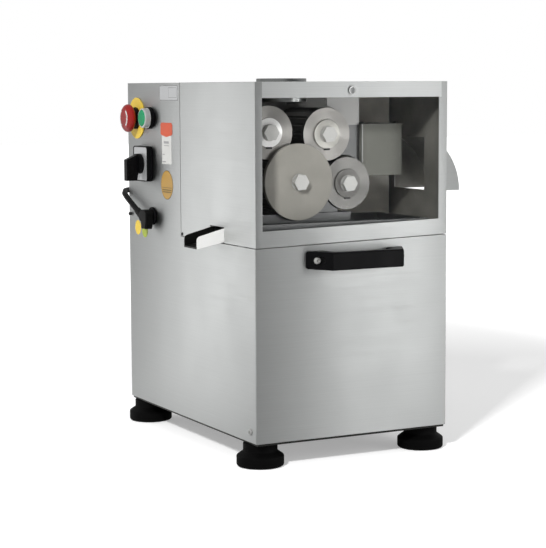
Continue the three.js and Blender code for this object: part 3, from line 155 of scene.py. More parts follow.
def linear(colour):
    """The linear values of an sRGB colour."""
    shares = [c / 255 for c in colour]
    return tuple(s / 12.92 if s <= 0.04045 else ((s + 0.055) / 1.055) ** 2.4 for s in shares)


def new_material(name, colour, roughness, metallic=0.0):
    material = bpy.data.materials.new(name)
    material.use_nodes = True
    shader = material.node_tree.nodes["Principled BSDF"]
    shader.inputs["Base Color"].default_value = (*linear(colour), 1)
    shader.inputs["Roughness"].default_value = roughness
    shader.inputs["Metallic"].default_value = metallic
    return material, shader


def add_node(material, kind, inputs=None, **settings):
    node = material.node_tree.nodes.new(kind)
    for key, value in settings.items():
        setattr(node, key, value)
    for key, value in (inputs or {}).items():
        if isinstance(value, bpy.types.NodeSocket):
            material.node_tree.links.new(value, node.inputs[key])
        else:
            node.inputs[key].default_value = value
    return node


def maths(material, operation, first, second):
    return add_node(material, "ShaderNodeMath", {0: first, 1: second}, operation=operation).outputs[0]


def coordinates(material, scale):
    source = add_node(material, "ShaderNodeTexCoord")
    return add_node(material, "ShaderNodeMapping", {"Vector": source.outputs["Object"], "Scale": scale})


def noise(material, scale, detail=3.0, rough=0.55):
    mapping = coordinates(material, scale)
    return add_node(
        material,
        "ShaderNodeTexNoise",
        {"Vector": mapping.outputs["Vector"], "Scale": 1.0, "Detail": detail, "Roughness": rough},
    )


def spread(material, value, low, high, start=0.3, end=0.7):
    return add_node(
        material,
        "ShaderNodeMapRange",
        {"Value": value, "From Min": start, "From Max": end, "To Min": low, "To Max": high},
    ).outputs["Result"]


def shade_colour(material, shader, colour, factor):
    mixer = add_node(material, "ShaderNodeMix", data_type="RGBA", blend_type="MULTIPLY")
    mixer.inputs["Factor"].default_value = 1.0
    mixer.inputs[6].default_value = (*linear(colour), 1)
    combine = add_node(material, "ShaderNodeCombineColor", {"Red": factor, "Green": factor, "Blue": factor})
    material.node_tree.links.new(combine.outputs["Color"], mixer.inputs[7])
    material.node_tree.links.new(mixer.outputs[2], shader.inputs["Base Color"])


def bump(material, shader, height, strength, distance=0.0002):
    inputs = {"Height": height, "Strength": strength, "Distance": distance}
    node = add_node(material, "ShaderNodeBump", inputs)
    material.node_tree.links.new(node.outputs["Normal"], shader.inputs["Normal"])


def upright_tangent(material, shader, strength):
    """Stretches highlights upright on walls, as a level grain does."""
    geometry = add_node(material, "ShaderNodeNewGeometry")
    upright = add_node(
        material,
        "ShaderNodeVectorMath",
        {0: geometry.outputs["Normal"], 1: (1, 0.05, 0)},
        operation="CROSS_PRODUCT",
    )
    shader.inputs["Anisotropic"].default_value = strength
    material.node_tree.links.new(upright.outputs["Vector"], shader.inputs["Tangent"])


def brushed_steel(name, colour, roughness, metallic, grain=1.0, anisotropy=0.0, clouds=0.0):
    """Fine level grain, with faint handling marks that only change the gloss."""
    material, shader = new_material(name, colour, roughness, metallic)
    streaks = noise(material, GRAIN_SCALE, 4.0, 0.6).outputs["Fac"]
    marks = noise(material, WEAR_SCALE, 3.0).outputs["Fac"]
    tone = spread(material, streaks, 1 - GRAIN_DARK * grain, 1 + GRAIN_LIGHT * grain)
    if clouds:
        patches = noise(material, PATCH_SCALE, 3.0).outputs["Fac"]
        cloudy = spread(material, patches, 1 - clouds, 1 + clouds)
        tone = maths(material, "MULTIPLY", tone, cloudy)
    shade_colour(material, shader, colour, tone)
    gloss = GRAIN_GLOSS * grain
    fine = spread(material, streaks, roughness - gloss, roughness + gloss)
    worn = spread(material, marks, -WEAR_GLOSS, WEAR_GLOSS)
    material.node_tree.links.new(maths(material, "ADD", fine, worn), shader.inputs["Roughness"])
    bump(material, shader, streaks, GRAIN_BUMP * grain)
    if anisotropy:
        upright_tangent(material, shader, anisotropy)
    return material


def distance_from_axis(material, source, centre):
    """How far a point lies from an axis along y."""
    middle = at(centre[0], 0, centre[1])
    offset = add_node(
        material,
        "ShaderNodeVectorMath",
        {0: source.outputs["Object"], 1: (middle.x, 0, middle.z)},
        operation="SUBTRACT",
    )
    flat = add_node(
        material,
        "ShaderNodeVectorMath",
        {0: offset.outputs["Vector"], 1: (1, 0, 1)},
        operation="MULTIPLY",
    )
    length = add_node(material, "ShaderNodeVectorMath", {0: flat.outputs["Vector"]}, operation="LENGTH")
    return length.outputs["Value"]


def turned_steel(name, colour, roughness, centre, anisotropy=0.85, metallic=1.0, side_shade=1.0):
    """Rings of a lathe tool round an axis along y, slightly cloudy; the sides round the axis can be
    darkened as painted shade.
    """
    material, shader = new_material(name, colour, roughness, metallic)
    source = add_node(material, "ShaderNodeTexCoord")
    rings = add_node(
        material,
        "ShaderNodeTexNoise",
        {"W": distance_from_axis(material, source, centre), "Scale": RING_SCALE, "Detail": 3.0},
        noise_dimensions="1D",
    )
    clouds = noise(material, (28, 28, 28), 3.0).outputs["Fac"]
    normal = add_node(material, "ShaderNodeSeparateXYZ", {"Vector": source.outputs["Normal"]})
    facing = add_node(material, "ShaderNodeMath", {0: normal.outputs["Y"]}, operation="ABSOLUTE")
    # Painted shade: faces that don't face along the axis are darkened.
    side_shading = spread(material, facing.outputs[0], side_shade, 1.0, start=0.5, end=0.9)
    cloudy = spread(material, clouds, 0.9, 1.04)
    shade_colour(material, shader, colour, maths(material, "MULTIPLY", cloudy, side_shading))
    ringed = spread(material, rings.outputs["Fac"], roughness - RING_GLOSS, roughness + RING_GLOSS)
    material.node_tree.links.new(ringed, shader.inputs["Roughness"])
    bump(material, shader, rings.outputs["Fac"], RING_BUMP)
    shader.inputs["Anisotropic"].default_value = anisotropy
    shader.inputs["Anisotropic Rotation"].default_value = 0.25
    tangent = add_node(material, "ShaderNodeTangent", direction_type="RADIAL", axis="Y")
    material.node_tree.links.new(tangent.outputs["Tangent"], shader.inputs["Tangent"])
    return material


def moulded(name, colour, roughness, texture=700, strength=0.06, coat=0.0, specular=0.5):
    """Plastic or rubber with a fine mould grain and a little unevenness in its gloss."""
    material, shader = new_material(name, colour, roughness)
    grain = noise(material, (texture, texture, texture), 2.0).outputs["Fac"]
    patches = noise(material, (30, 30, 30), 3.0).outputs["Fac"]
    shade_colour(material, shader, colour, spread(material, patches, 0.9, 1.06))
    gloss = spread(material, patches, roughness - 0.05, roughness + 0.07)
    material.node_tree.links.new(gloss, shader.inputs["Roughness"])
    bump(material, shader, grain, strength)
    shader.inputs["Specular IOR Level"].default_value = specular
    shader.inputs["Coat Weight"].default_value = coat
    shader.inputs["Coat Roughness"].default_value = 0.12
    return material


def clear_pane(name):
    """Clear sheet with faint dust: nearly all light goes straight through."""
    material, shader = new_material(name, (70, 72, 72), 0.03)
    shader.inputs["Alpha"].default_value = 0.02
    shader.inputs["IOR"].default_value = 1.49
    dust = noise(material, (60, 60, 60), 4.0).outputs["Fac"]
    material.node_tree.links.new(spread(material, dust, 0.02, 0.06), shader.inputs["Roughness"])
    return material


MATERIALS = {
    "panel": brushed_steel("panel_steel", (204, 206, 205), 0.45, 1.0, anisotropy=0.9),
    "hood": brushed_steel("hood_steel", (209, 211, 210), 0.45, 1.0, anisotropy=0.9),
    "rail": brushed_steel("rail_steel", (248, 250, 249), 0.56, 1.0, anisotropy=0.85),
    "inner": brushed_steel("inner_steel", (112, 113, 113), 0.4, 0.95),
    "lining": brushed_steel("lining_steel", (114, 113, 107), 0.36, 0.55, clouds=0.35),
    # Painted shade: a dark steel for the inside of the juice spout and the shadow gap of the base pan.
    "shaded": brushed_steel("shaded_steel", (60, 60, 58), 0.42, 0.95),
    "dark": brushed_steel("dark_steel", (122, 122, 119), 0.45, 0.5),
    # Painted light: the bulkhead beside the duct is painted far lighter than the rest of the plate,
    # standing for light that doesn't reach that deep.
    "painted_light": brushed_steel("painted_light_steel", (214, 211, 201), 0.4, 0.2, clouds=0.25),
    "bright": brushed_steel("bright_steel", (205, 205, 203), 0.28, 0.95, 0.5),
    "head": brushed_steel("bolt_steel", (184, 184, 181), 0.42, 0.6, 0.4),
    # Painted highlight: a light steel for the guide plate's crown and for the duct's front edge.
    "painted_highlight": brushed_steel("painted_highlight_steel", (180, 180, 178), 0.5, 0.7, 0.6),
    "duct": brushed_steel("duct_steel", (120, 121, 114), 0.55, 0.55, 0.5),
    "edge": brushed_steel("edge_steel", (226, 226, 224), 0.4, 0.2, 0.3),
    "collar": brushed_steel("collar_steel", (140, 142, 141), 0.32, 1.0, 0.5),
    "chrome": brushed_steel("dark_chrome", (118, 119, 119), 0.22, 1.0, 0.2),
    "gear": brushed_steel("gear_steel", (110, 110, 112), 0.38, 1.0, 0.6),
    "bezel": brushed_steel("bezel_steel", (206, 207, 206), 0.38, 0.8, 0.3),
    "black": moulded("black_plastic", (6, 6, 7), 0.4, specular=0.1),
    "rubber": moulded("black_rubber", (5, 5, 5), 0.6, 500, 0.12, specular=0.08),
    "cord": moulded("black_cord", (7, 7, 7), 0.5, 900, 0.08, specular=0.14),
    "screw": moulded("black_screw", (22, 22, 23), 0.35, 300, 0.02),
    "red": moulded("red_plastic", (126, 18, 14), 0.36, 600, 0.02, coat=0.2, specular=0.3),
    "green": moulded("green_plastic", (6, 124, 78), 0.4, 600, 0.02, coat=0.1, specular=0.2),
    "yellow": moulded("yellow_plastic", (214, 184, 66), 0.55),
    "leaf": moulded("green_print", (150, 164, 60), 0.55),
    "white": moulded("white_print", (188, 188, 185), 0.55, 900, 0.01),
    "grey": moulded("grey_print", (138, 138, 138), 0.55, 900, 0.01),
    "plate_line": moulded("plate_line", (112, 113, 113), 0.55, 900, 0.01),
    "orange": moulded("orange_print", (184, 76, 46), 0.5, 900, 0.01),
    "gold": moulded("gold_foil", (158, 120, 36), 0.36, 120, 0.05, coat=0.3),
    "gold_line": moulded("gold_line", (96, 78, 30), 0.5, 300, 0.05),
    "silver": brushed_steel("silver_plate", (186, 187, 188), 0.42, 0.6, 0.4),
    "paint": moulded("grey_paint", (118, 124, 128), 0.5, 300, 0.1),
    "pane": clear_pane("clear_pane"),
}
# The rollers are all the same turned steel; their colours differ as painted shade, darkest on the lower
# right roller.
SLEEVE_PAINTED_SHADES = {
    "top_left": (172, 170, 166),
    "top_right": (176, 174, 170),
    "lower_right": (142, 141, 138),
    "central": (182, 180, 176),
}
# The end washers are the same steel: the top left one is painted near white as a painted highlight, the
# lower right one darker as painted shade.
WASHER_PAINTED_LIGHT = {
    "top_left": ((250, 250, 248), 0.0),
    "top_right": ((200, 199, 192), 0.5),
    "lower_right": ((124, 123, 120), 0.8),
}
# The rollers' barrels and ribs are darkened to a fifth, as painted shade.
for key, centre in ROLLERS.items():
    MATERIALS["turned_" + key] = turned_steel("turned_" + key, SLEEVE_PAINTED_SHADES[key], 0.4, centre, 0.9, side_shade=0.2)
    if key != "central":
        shade, metallic = WASHER_PAINTED_LIGHT[key]
        MATERIALS["washer_" + key] = turned_steel("washer_" + key, shade, 0.45, centre, 0.6, metallic)
MATERIALS["flange"] = turned_steel("flange_steel", (139, 137, 130), 0.65, ROLLERS["central"], 0.1, 0.15)


# Mesh helpers

def finish_mesh(obj, smooth=32, weighted=False):
    mesh = obj.data
    mesh.shade_smooth()
    mesh.set_sharp_from_angle(angle=math.radians(smooth))
    if weighted:
        modifier = obj.modifiers.new("weighted", "WEIGHTED_NORMAL")
        modifier.keep_sharp = True
        modifier.weight = 80


def add_piece(name, bm, material, body="cabinet", slot=None, replaces=(), smooth=32, weighted=False):
    bmesh.ops.recalc_face_normals(bm, faces=bm.faces)
    mesh = bpy.data.meshes.new(name)
    bm.to_mesh(mesh)
    bm.free()
    obj = bpy.data.objects.new(name, mesh)
    bpy.context.scene.collection.objects.link(obj)
    mesh.materials.append(MATERIALS[material])
    finish_mesh(obj, smooth, weighted)
    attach(obj, body)
    if replaces:
        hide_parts(*replaces)
    return obj


AXES = {
    "x": (Vector((0, 1, 0)), Vector((0, 0, 1)), Vector((1, 0, 0))),
    "y": (Vector((0, 0, 1)), Vector((1, 0, 0)), Vector((0, 1, 0))),
    "z": (Vector((1, 0, 0)), Vector((0, 1, 0)), Vector((0, 0, 1))),
}


def lathe_into(bm, profile, axis, centre, segments=72):
    """Adds a ring of faces for [radius, distance along the axis] points; radius 0 closes an end."""
    across, up, along = AXES[axis]
    origin = at(*centre)
    rings = []
    for radius, distance in profile:
        base = origin + along * (distance / 1000)
        if radius < 1e-6:
            rings.append([bm.verts.new(base)])
            continue
        ring = []
        for i in range(segments):
            angle = 2 * math.pi * i / segments
            outward = across * math.cos(angle) + up * math.sin(angle)
            ring.append(bm.verts.new(base + outward * (radius / 1000)))
        rings.append(ring)
    for low, high in zip(rings, rings[1:]):
        for i in range(segments):
            j = (i + 1) % segments
            corners = [low[i % len(low)], low[j % len(low)], high[j % len(high)], high[i % len(high)]]
            unique = list(dict.fromkeys(corners))
            if len(unique) > 2:
                bm.faces.new(unique)
    return bm


def lathe(name, profile, axis, centre, material, segments=72, **options):
    return add_piece(name, lathe_into(bmesh.new(), profile, axis, centre, segments), material, **options)


def rounded_profile(points, radius, steps=4):
    """Rounds the inner corners of an open profile by quadratic curves that start radius away."""
    result = [points[0]]
    for before, corner, after in zip(points, points[1:], points[2:]):
        here = Vector(corner)
        to_before = Vector(before) - here
        to_after = Vector(after) - here
        reach = min(radius, to_before.length * 0.45, to_after.length * 0.45)
        start = here + to_before.normalized() * reach
        end = here + to_after.normalized() * reach
        for i in range(steps + 1):
            t = i / steps
            point = start * (1 - t) ** 2 + here * 2 * t * (1 - t) + end * t**2
            result.append((point.x, point.y))
    result.append(points[-1])
    return result


def extrude_into(bm, outline, axis, start, end):
    """Adds a prism of an outline; outlines along x are (y, z), along y (z, x) and along z (x, y)."""
    def place(a, b, s):
        return {"x": at(s, a, b), "y": at(b, s, a), "z": at(a, b, s)}[axis]

    low = [bm.verts.new(place(a, b, start)) for a, b in outline]
    high = [bm.verts.new(place(a, b, end)) for a, b in outline]
    bm.faces.new(low)
    bm.faces.new(high)
    for i in range(len(outline)):
        j = (i + 1) % len(outline)
        bm.faces.new([low[i], low[j], high[j], high[i]])
    return bm


def round_edges(bm, width, angle=30, segments=2):
    edges = [e for e in bm.edges if e.is_manifold and e.calc_face_angle() > math.radians(angle)]
    bmesh.ops.bevel(
        bm,
        geom=edges,
        offset=width / 1000,
        segments=segments,
        profile=0.5,
        affect="EDGES",
        clamp_overlap=True,
    )


def rounded_rectangle(centre_a, centre_b, width, height, corner, steps=5):
    points = []
    for quarter, (sa, sb) in enumerate([(1, 1), (-1, 1), (-1, -1), (1, -1)]):
        for i in range(steps + 1):
            angle = (quarter + i / steps) * math.pi / 2
            a = centre_a + sa * (width / 2 - corner) + corner * math.cos(angle)
            b = centre_b + sb * (height / 2 - corner) + corner * math.sin(angle)
            points.append((a, b))
    return points


def split_faces(bm, axis, value, test):
    """Cuts the faces that pass the test with a plane across the axis."""
    faces = [f for f in bm.faces if test(f.calc_center_median(), f.normal)]
    edges = dict.fromkeys(e for f in faces for e in f.edges)
    verts = dict.fromkeys(v for f in faces for v in f.verts)
    normal = {"x": (1, 0, 0), "y": (0, 1, 0), "z": (0, 0, 1)}[axis]
    point = {"x": at(value, 0, 0), "y": at(0, value, 0), "z": at(0, 0, value)}[axis]
    bmesh.ops.bisect_plane(bm, geom=[*faces, *edges, *verts], dist=1e-7, plane_co=point, plane_no=normal)


def facing_front(centre, normal):
    return normal.y < -0.9


def paint_zones(obj, zones):
    """Gives faces their own material where the test on their centre and normal holds."""
    for index, (material, test) in enumerate(zones, 1):
        obj.data.materials.append(MATERIALS[material])
        for face in obj.data.polygons:
            if test(*working(face.center), face.normal):
                face.material_index = index


def body_of(node):
    return next(name for name, nodes in frame["record"]["behaviour"]["bodies"].items() if node in nodes)


def dressed(node, material, slot, width=0.45, angle=30, segments=2, smooth=32, zones=(), cuts=()):
    """A copy of a CAD node with its sharp edges rounded, cut and painted by zones, that stands for it."""
    bm = bmesh.new()
    bm.from_mesh(frame["nodes"][node].data)
    bmesh.ops.remove_doubles(bm, verts=bm.verts, dist=2e-6)
    bmesh.ops.dissolve_limit(bm, angle_limit=math.radians(1), verts=bm.verts, edges=bm.edges)
    round_edges(bm, width, angle, segments)
    for axis, value, test in cuts:
        split_faces(bm, axis, value, test)
    obj = add_piece(node + "_dressed", bm, material, body_of(node), slot, (node,), smooth, weighted=True)
    paint_zones(obj, zones)
    return obj


def repaint(node, material):
    for place in frame["nodes"][node].material_slots:
        place.material = MATERIALS[material]


def take_in(bm, part):
    """Adds a finished part to a mesh that is still being built."""
    mesh = bpy.data.meshes.new("part")
    part.to_mesh(mesh)
    part.free()
    bm.from_mesh(mesh)
    bpy.data.meshes.remove(mesh)


# Mains lead, its coil and its plug

SPAN_STEPS = 40


def smooth_point(points, place):
    """A point on the cubic B-spline that begins at the first point and ends at the last."""
    span = math.floor(place)
    t = place - span
    weights = ((1 - t) ** 3, 3 * t**3 - 6 * t**2 + 4, -3 * t**3 + 3 * t**2 + 3 * t + 1, t**3)
    total = Vector((0, 0, 0))
    for i, weight in enumerate(weights):
        index = min(max(span + i - 2, 0), len(points) - 1)
        total += points[index] * (weight / 6)
    return total


def even_points(points, count):
    """Evenly spaced points along the spline."""
    spans = len(points) + 1
    steps = spans * SPAN_STEPS
    fine = [smooth_point(points, min(i / SPAN_STEPS, spans - 1e-9)) for i in range(steps + 1)]
    lengths = [0.0]
    for a, b in zip(fine, fine[1:]):
        lengths.append(lengths[-1] + (b - a).length)
    result = []
    index = 0
    for i in range(count):
        goal = lengths[-1] * i / (count - 1)
        while index < len(lengths) - 2 and lengths[index + 1] < goal:
            index += 1
        share = (goal - lengths[index]) / max(lengths[index + 1] - lengths[index], 1e-9)
        result.append(fine[index].lerp(fine[index + 1], min(share, 1)))
    return result


LEAD_RADIUS = 4
FREE_STEPS = 36
TURN_STEPS = 40
COIL_TURNS = 4.25
COIL_RADIUS = 52
COIL_PITCH = 8.6
COIL_TAIL = 38
COIL_START = 153
COIL_CENTRE = (162, DEPTH + 72)
COIL_END = COIL_TURNS + COIL_TAIL / (2 * math.pi * COIL_RADIUS)


def coil_heading(turn):
    """Which way the lead runs at a turn of the coil."""
    heading = coil_point(turn) - coil_point(turn - 0.01)
    heading.z = 0
    return heading.normalized()


def coil_point(turn):
    """The coil winds inwards, climbs half-way and winds out again, and its tail runs straight."""
    if turn > COIL_TURNS:
        tail = (turn - COIL_TURNS) * 2 * math.pi * COIL_RADIUS
        return coil_point(COIL_TURNS) + coil_heading(COIL_TURNS) * tail
    radius = COIL_RADIUS - COIL_PITCH * min(turn, COIL_TURNS - turn)
    climb = min(1, max(0, (turn - COIL_TURNS / 2) / 0.5 + 0.5))
    angle = math.radians(COIL_START) - 2 * math.pi * turn
    return Vector((
        COIL_CENTRE[0] + radius * math.cos(angle),
        COIL_CENTRE[1] + radius * math.sin(angle),
        LEAD_RADIUS + SEAT + COIL_PITCH * climb,
    ))


LEAD_POINTS = [
    (-10.3, 356.3, 312.7),
    (-10.3, 363.6, 315.8),
    (-10.3, 398.0, 330.4),
    (-7.3, 412.9, 335.6),
    (1.1, 425.6, 338.1),
    (13.8, 434.0, 337.9),
    (28.7, 437.0, 335.1),
    (43.4, 440.0, 327.8),
    (54.5, 442.2, 315.6),
    (60.5, 443.4, 300.1),
    (65.8, 444.5, 237.4),
    (71.2, 445.6, 174.7),
    (76.5, 446.7, 112.0),
    (81.9, 447.8, 49.3),
    (83.6, 450.7, 32.1),
    (88.5, 459.1, 17.5),
    (95.9, 471.7, 7.7),
    (104.6, 486.6, 4.3),
    (111.6, 498.7, 4.3),
    (115.5, 505.3, 4.3),
]


def lead_route():
    free = even_points([Vector(p) for p in LEAD_POINTS], FREE_STEPS)
    coil = [coil_point(i / TURN_STEPS) for i in range(1, int(COIL_END * TURN_STEPS) + 1)]
    return [at(*p) for p in free + coil + [coil_point(COIL_END)]]


def mains_lead():
    route = lead_route()
    data = bpy.data.curves.new("mains_lead_whole", "CURVE")
    data.dimensions = "3D"
    spline = data.splines.new("POLY")
    spline.points.add(len(route) - 1)
    for point, place in zip(spline.points, route):
        point.co = (*place, 1)
    spline.use_smooth = True
    data.bevel_depth = LEAD_RADIUS / 1000
    data.bevel_resolution = 4
    data.use_fill_caps = True
    data.materials.append(MATERIALS["cord"])
    lead = bpy.data.objects.new("mains_lead_whole", data)
    bpy.context.scene.collection.objects.link(lead)
    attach(lead, "cabinet")
    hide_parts("mains_lead", "mains_lead_coil")
    length = sum((b - a).length for a, b in zip(route, route[1:]))
    print("lead length", round(length, 4))
    return lead, route, length


def turned_about(bm, pivot, angle, axis):
    bmesh.ops.rotate(bm, verts=bm.verts, cent=pivot, matrix=Matrix.Rotation(angle, 3, axis))


# Plug: distances along the lead from its end; across and up from its middle
RELIEF_PROFILE = [(0, 0.4), (5, 0.4), (5.2, 4), (6.6, 16), (0, 16)]
RELIEF_RIBS = 3
RIB_START = 3
RIB_PITCH = 4
RIB_WIDTH = 2.2
RIB_SLOPE = 0.3
RIB_RADIUS = 5.6
RIB_GROWTH = 0.4
PLUG_OUTLINE = [(12, -6.5), (20, -13), (34.3, -13), (34.3, 13), (20, 13), (12, 6.5)]
PLUG_HALF_HEIGHT = 12.55
BLADE_MIDDLE = 42
BLADE_LENGTH = 18.4
BLADE_WIDTH = 6.5
BLADE_THICKNESS = 1.5
BLADE_CORNER = 1.2
BLADE_SPACING = 12.7
BLADE_LIFT = 3.25
EARTH_PIN_PROFILE = [(0, 33), (2.4, 33), (2.4, 54.5), (0, 54.5)]
EARTH_PIN_DROP = 6


def plug_body(end):
    x, y, z = end
    bm = bmesh.new()
    lathe_into(bm, rounded_profile(RELIEF_PROFILE, 0.8), "x", end, 28)
    for rib in range(RELIEF_RIBS):
        start = RIB_START + RIB_PITCH * rib
        end_face = start + RIB_WIDTH
        radius = RIB_RADIUS + RIB_GROWTH * rib
        rim = [(radius, start + RIB_SLOPE), (radius, end_face - RIB_SLOPE)]
        profile = [(0, start), *rim, (0, end_face)]
        lathe_into(bm, profile, "x", end, 28)
    body = bmesh.new()
    outline = [(x + along, y + across) for along, across in PLUG_OUTLINE]
    extrude_into(body, outline, "z", z - PLUG_HALF_HEIGHT, z + PLUG_HALF_HEIGHT)
    round_edges(body, 2.2, 25, 3)
    take_in(bm, body)
    return bm


def plug_pins(end):
    x, y, z = end
    bm = bmesh.new()
    for side in (-1, 1):
        middle = y + side * BLADE_SPACING / 2
        place = (x + BLADE_MIDDLE, z + BLADE_LIFT)
        outline = rounded_rectangle(*place, BLADE_LENGTH, BLADE_WIDTH, BLADE_CORNER)
        flipped = [(up, along) for along, up in outline]
        extrude_into(bm, flipped, "y", middle - BLADE_THICKNESS / 2, middle + BLADE_THICKNESS / 2)
    lathe_into(bm, rounded_profile(EARTH_PIN_PROFILE, 1.2), "x", (x, y, z - EARTH_PIN_DROP), 20)
    return bm


def mains_plug():
    end = coil_point(COIL_END)
    heading = coil_heading(COIL_END)
    angle = math.atan2(heading.y, heading.x)
    body = plug_body(end)
    turned_about(body, at(*end), angle, "Z")
    plug = add_piece("mains_plug_body", body, "cord", slot="black_cord", replaces=("mains_plug",),
                     smooth=40)
    pins = plug_pins(end)
    turned_about(pins, at(*end), angle, "Z")
    blades = add_piece("mains_plug_pins", pins, "bright", slot="bright_steel", smooth=35)
    return plug, blades


lead, route, lead_length = mains_lead()
plug, blades = mains_plug()


STRAP_ANGLE = 20
STRAP_WIDTH = 9
STRAP_MIDDLE = 42.8
STRAP_OUTSIDE = (9.1, 31, 18.1, 5)
STRAP_INSIDE = (8.75, 28.6, 16.9, 4)


def coil_strap():
    """A flat strap closed round the coil's turns on the side away from the plug."""
    bm = bmesh.new()
    rings = []
    for side in (-STRAP_WIDTH / 2, STRAP_WIDTH / 2):
        for sizes in (STRAP_OUTSIDE, STRAP_INSIDE):
            outline = rounded_rectangle(STRAP_MIDDLE, *sizes)
            rings.append([bm.verts.new(at(out, side, up)) for out, up in outline])
    count = len(rings[0])
    for a, b in ((0, 2), (1, 3), (0, 1), (2, 3)):
        for i in range(count):
            j = (i + 1) % count
            bm.faces.new([rings[a][i], rings[a][j], rings[b][j], rings[b][i]])
    turned_about(bm, at(0, 0, 0), math.radians(STRAP_ANGLE), "Z")
    across, back = COIL_CENTRE
    bmesh.ops.translate(bm, verts=bm.verts, vec=Vector((across / 1000, back / 1000, 0)))
    add_piece("coil_strap", bm, "black", slot="black_plastic", smooth=35)


coil_strap()


# Cabinet, hood and frame; a zone's test takes a face's centre and its normal

HOOD_SKIN = 0.8
RAIL_HEIGHT = 20.4
RAIL_LEFT = 10
RAIL_RIGHT = WIDTH - 9
SPOUT_SKIN = 1
CHUTE_SKIN = 0.7
CHUTE_CENTRE = (256, 346)
CHUTE_RADIUS = 82
CROWN_BOTTOM = 437
spout_low, spout_high = box_of("juice_spout")
chute_low, chute_high = box_of("bagasse_chute")
duct_low, duct_high = box_of("discharge_duct")
WALL_LEFT = duct_low[0] + 0.5


def inside_hood(x, y, z, normal):
    return HOOD_SKIN < x < WIDTH - HOOD_SKIN and y > HOOD_SKIN and z < TOP - HOOD_SKIN


def top_rail(x, y, z, normal):
    return normal.y < -0.9 and z > TOP - RAIL_HEIGHT and RAIL_LEFT < x < RAIL_RIGHT


def inside_spout(x, y, z, normal):
    return spout_low[1] + SPOUT_SKIN < y < spout_high[1] - SPOUT_SKIN and normal.z > -0.5


def inside_chute(x, y, z, normal):
    between = chute_low[1] + CHUTE_SKIN < y < chute_high[1] - CHUTE_SKIN
    return between and math.hypot(x - CHUTE_CENTRE[0], z - CHUTE_CENTRE[1]) < CHUTE_RADIUS - CHUTE_SKIN


def guide_crown(x, y, z, normal):
    return z > CROWN_BOTTOM


# Where the bulkhead is painted lighter, as painted light.
def beside_duct(x, y, z, normal):
    return x > WALL_LEFT


rail_cuts = [
    ("z", TOP - RAIL_HEIGHT, facing_front),
    ("x", RAIL_LEFT, facing_front),
    ("x", RAIL_RIGHT, facing_front),
]
dressed("cabinet_shell", "panel", "sheet_steel", 0.5)
dressed("front_panel", "panel", "sheet_steel", 0.5)
dressed("back_panel", "panel", "sheet_steel", 0.4)
# The base pan is painted dark as painted shade.
dressed("base_pan", "shaded", "dark_steel", 0.4)
dressed("hood_shell", "hood", "sheet_steel", 0.5, zones=[("lining", inside_hood), ("rail", top_rail)],
        cuts=rail_cuts)
dressed("bagasse_chute", "panel", "sheet_steel", 0.4, angle=34, zones=[("lining", inside_chute)])
# The spout's inside is painted dark as painted shade.
dressed("juice_spout", "edge", "sheet_steel", 0.35, angle=34, zones=[("shaded", inside_spout)])
dressed("window_pane", "pane", "clear_pane", 0.3)
# The guide plate's crown is painted lighter than the rest of the plate, as a painted highlight.
dressed("guide_plate", "inner", "sheet_steel", 0.3, zones=[("painted_highlight", guide_crown)],
        cuts=[("z", CROWN_BOTTOM, facing_front)])
dressed("discharge_duct", "duct", "sheet_steel", 0.3)
for node in ("juice_tray", "juice_strainer", "gear_cover", "lock_keeper"):
    dressed(node, "inner", "sheet_steel", 0.35)
dressed("scraper_bar", "inner", "turned_steel", 0.5)
# The bulkhead right of the duct's left wall is painted lighter, as painted light.
dressed("bulkhead_plate", "dark", "dark_steel", 0.6, zones=[("painted_light", beside_duct)],
        cuts=[("x", WALL_LEFT, facing_front)])
dressed("rear_frame_plate", "dark", "dark_steel", 0.6)
dressed("gear_motor", "paint", "grey_paint", 1.2, angle=28, segments=3)
for key in ROLLERS:
    for prefix in ("front_bearing_", "rear_bearing_"):
        repaint(prefix + key, "bright")
    repaint("roller_" + key, "turned_" + key)
    repaint("shaft_" + key, "gear")
repaint("bull_gear", "gear")
repaint("drive_pinion", "gear")
repaint("wiring_loom", "cord")


# Feet

FOOT_RADIUS = 31
FOOT_CHAMFER = 2
FOOT_SIDE = 14
NECK_RADIUS = 22.5
NECK_BOTTOM = 20
STUD_RADIUS = 5
STUD_TOP = 39.7
BASE_REVEAL = 3


def foot(node):
    x, y, _ = middle_of(node)
    neck_top = PANEL_BOTTOM - BASE_REVEAL - SEAT
    profile = [
        (0, 0),
        (FOOT_RADIUS - FOOT_CHAMFER, 0),
        (FOOT_RADIUS, FOOT_CHAMFER),
        (FOOT_RADIUS, FOOT_SIDE),
        (NECK_RADIUS, NECK_BOTTOM),
        (NECK_RADIUS, neck_top),
        (STUD_RADIUS, neck_top),
        (STUD_RADIUS, STUD_TOP),
        (0, STUD_TOP),
    ]
    lathe(node + "_turned", rounded_profile(profile, 1.6), "z", (x, y, 0), "rubber",
          slot="black_rubber", replaces=(node,))


for node in ("foot_front_left", "foot_front_right", "foot_rear_left", "foot_rear_right"):
    foot(node)


# Handle with its two screws

HANDLE_FIXING = 62.5
HANDLE_SCREW_FACE = -12
HANDLE_SCREW_LEVEL = 267
HANDLE_SCREW = (4.7, 3.4)

dressed("front_handle", "black", "black_plastic", 0.8, angle=24, segments=3, smooth=40)


# Shares of the radius and of the height
SCREW_DOME = [(0, 0), (1, 0), (1, 0.35), (0.86, 0.8), (0.6, 1)]
SCREW_SOCKET = [(0.5, 1), (0.5, 0.5), (0, 0.45)]


def screw_into(bm, axis, centre, radius, height, out, segments=28):
    """A domed head with a socket; out is +1 or -1 along the axis."""
    profile = [(r * radius, s * height * out) for r, s in SCREW_DOME + SCREW_SOCKET]
    lathe_into(bm, profile, axis, centre, segments)


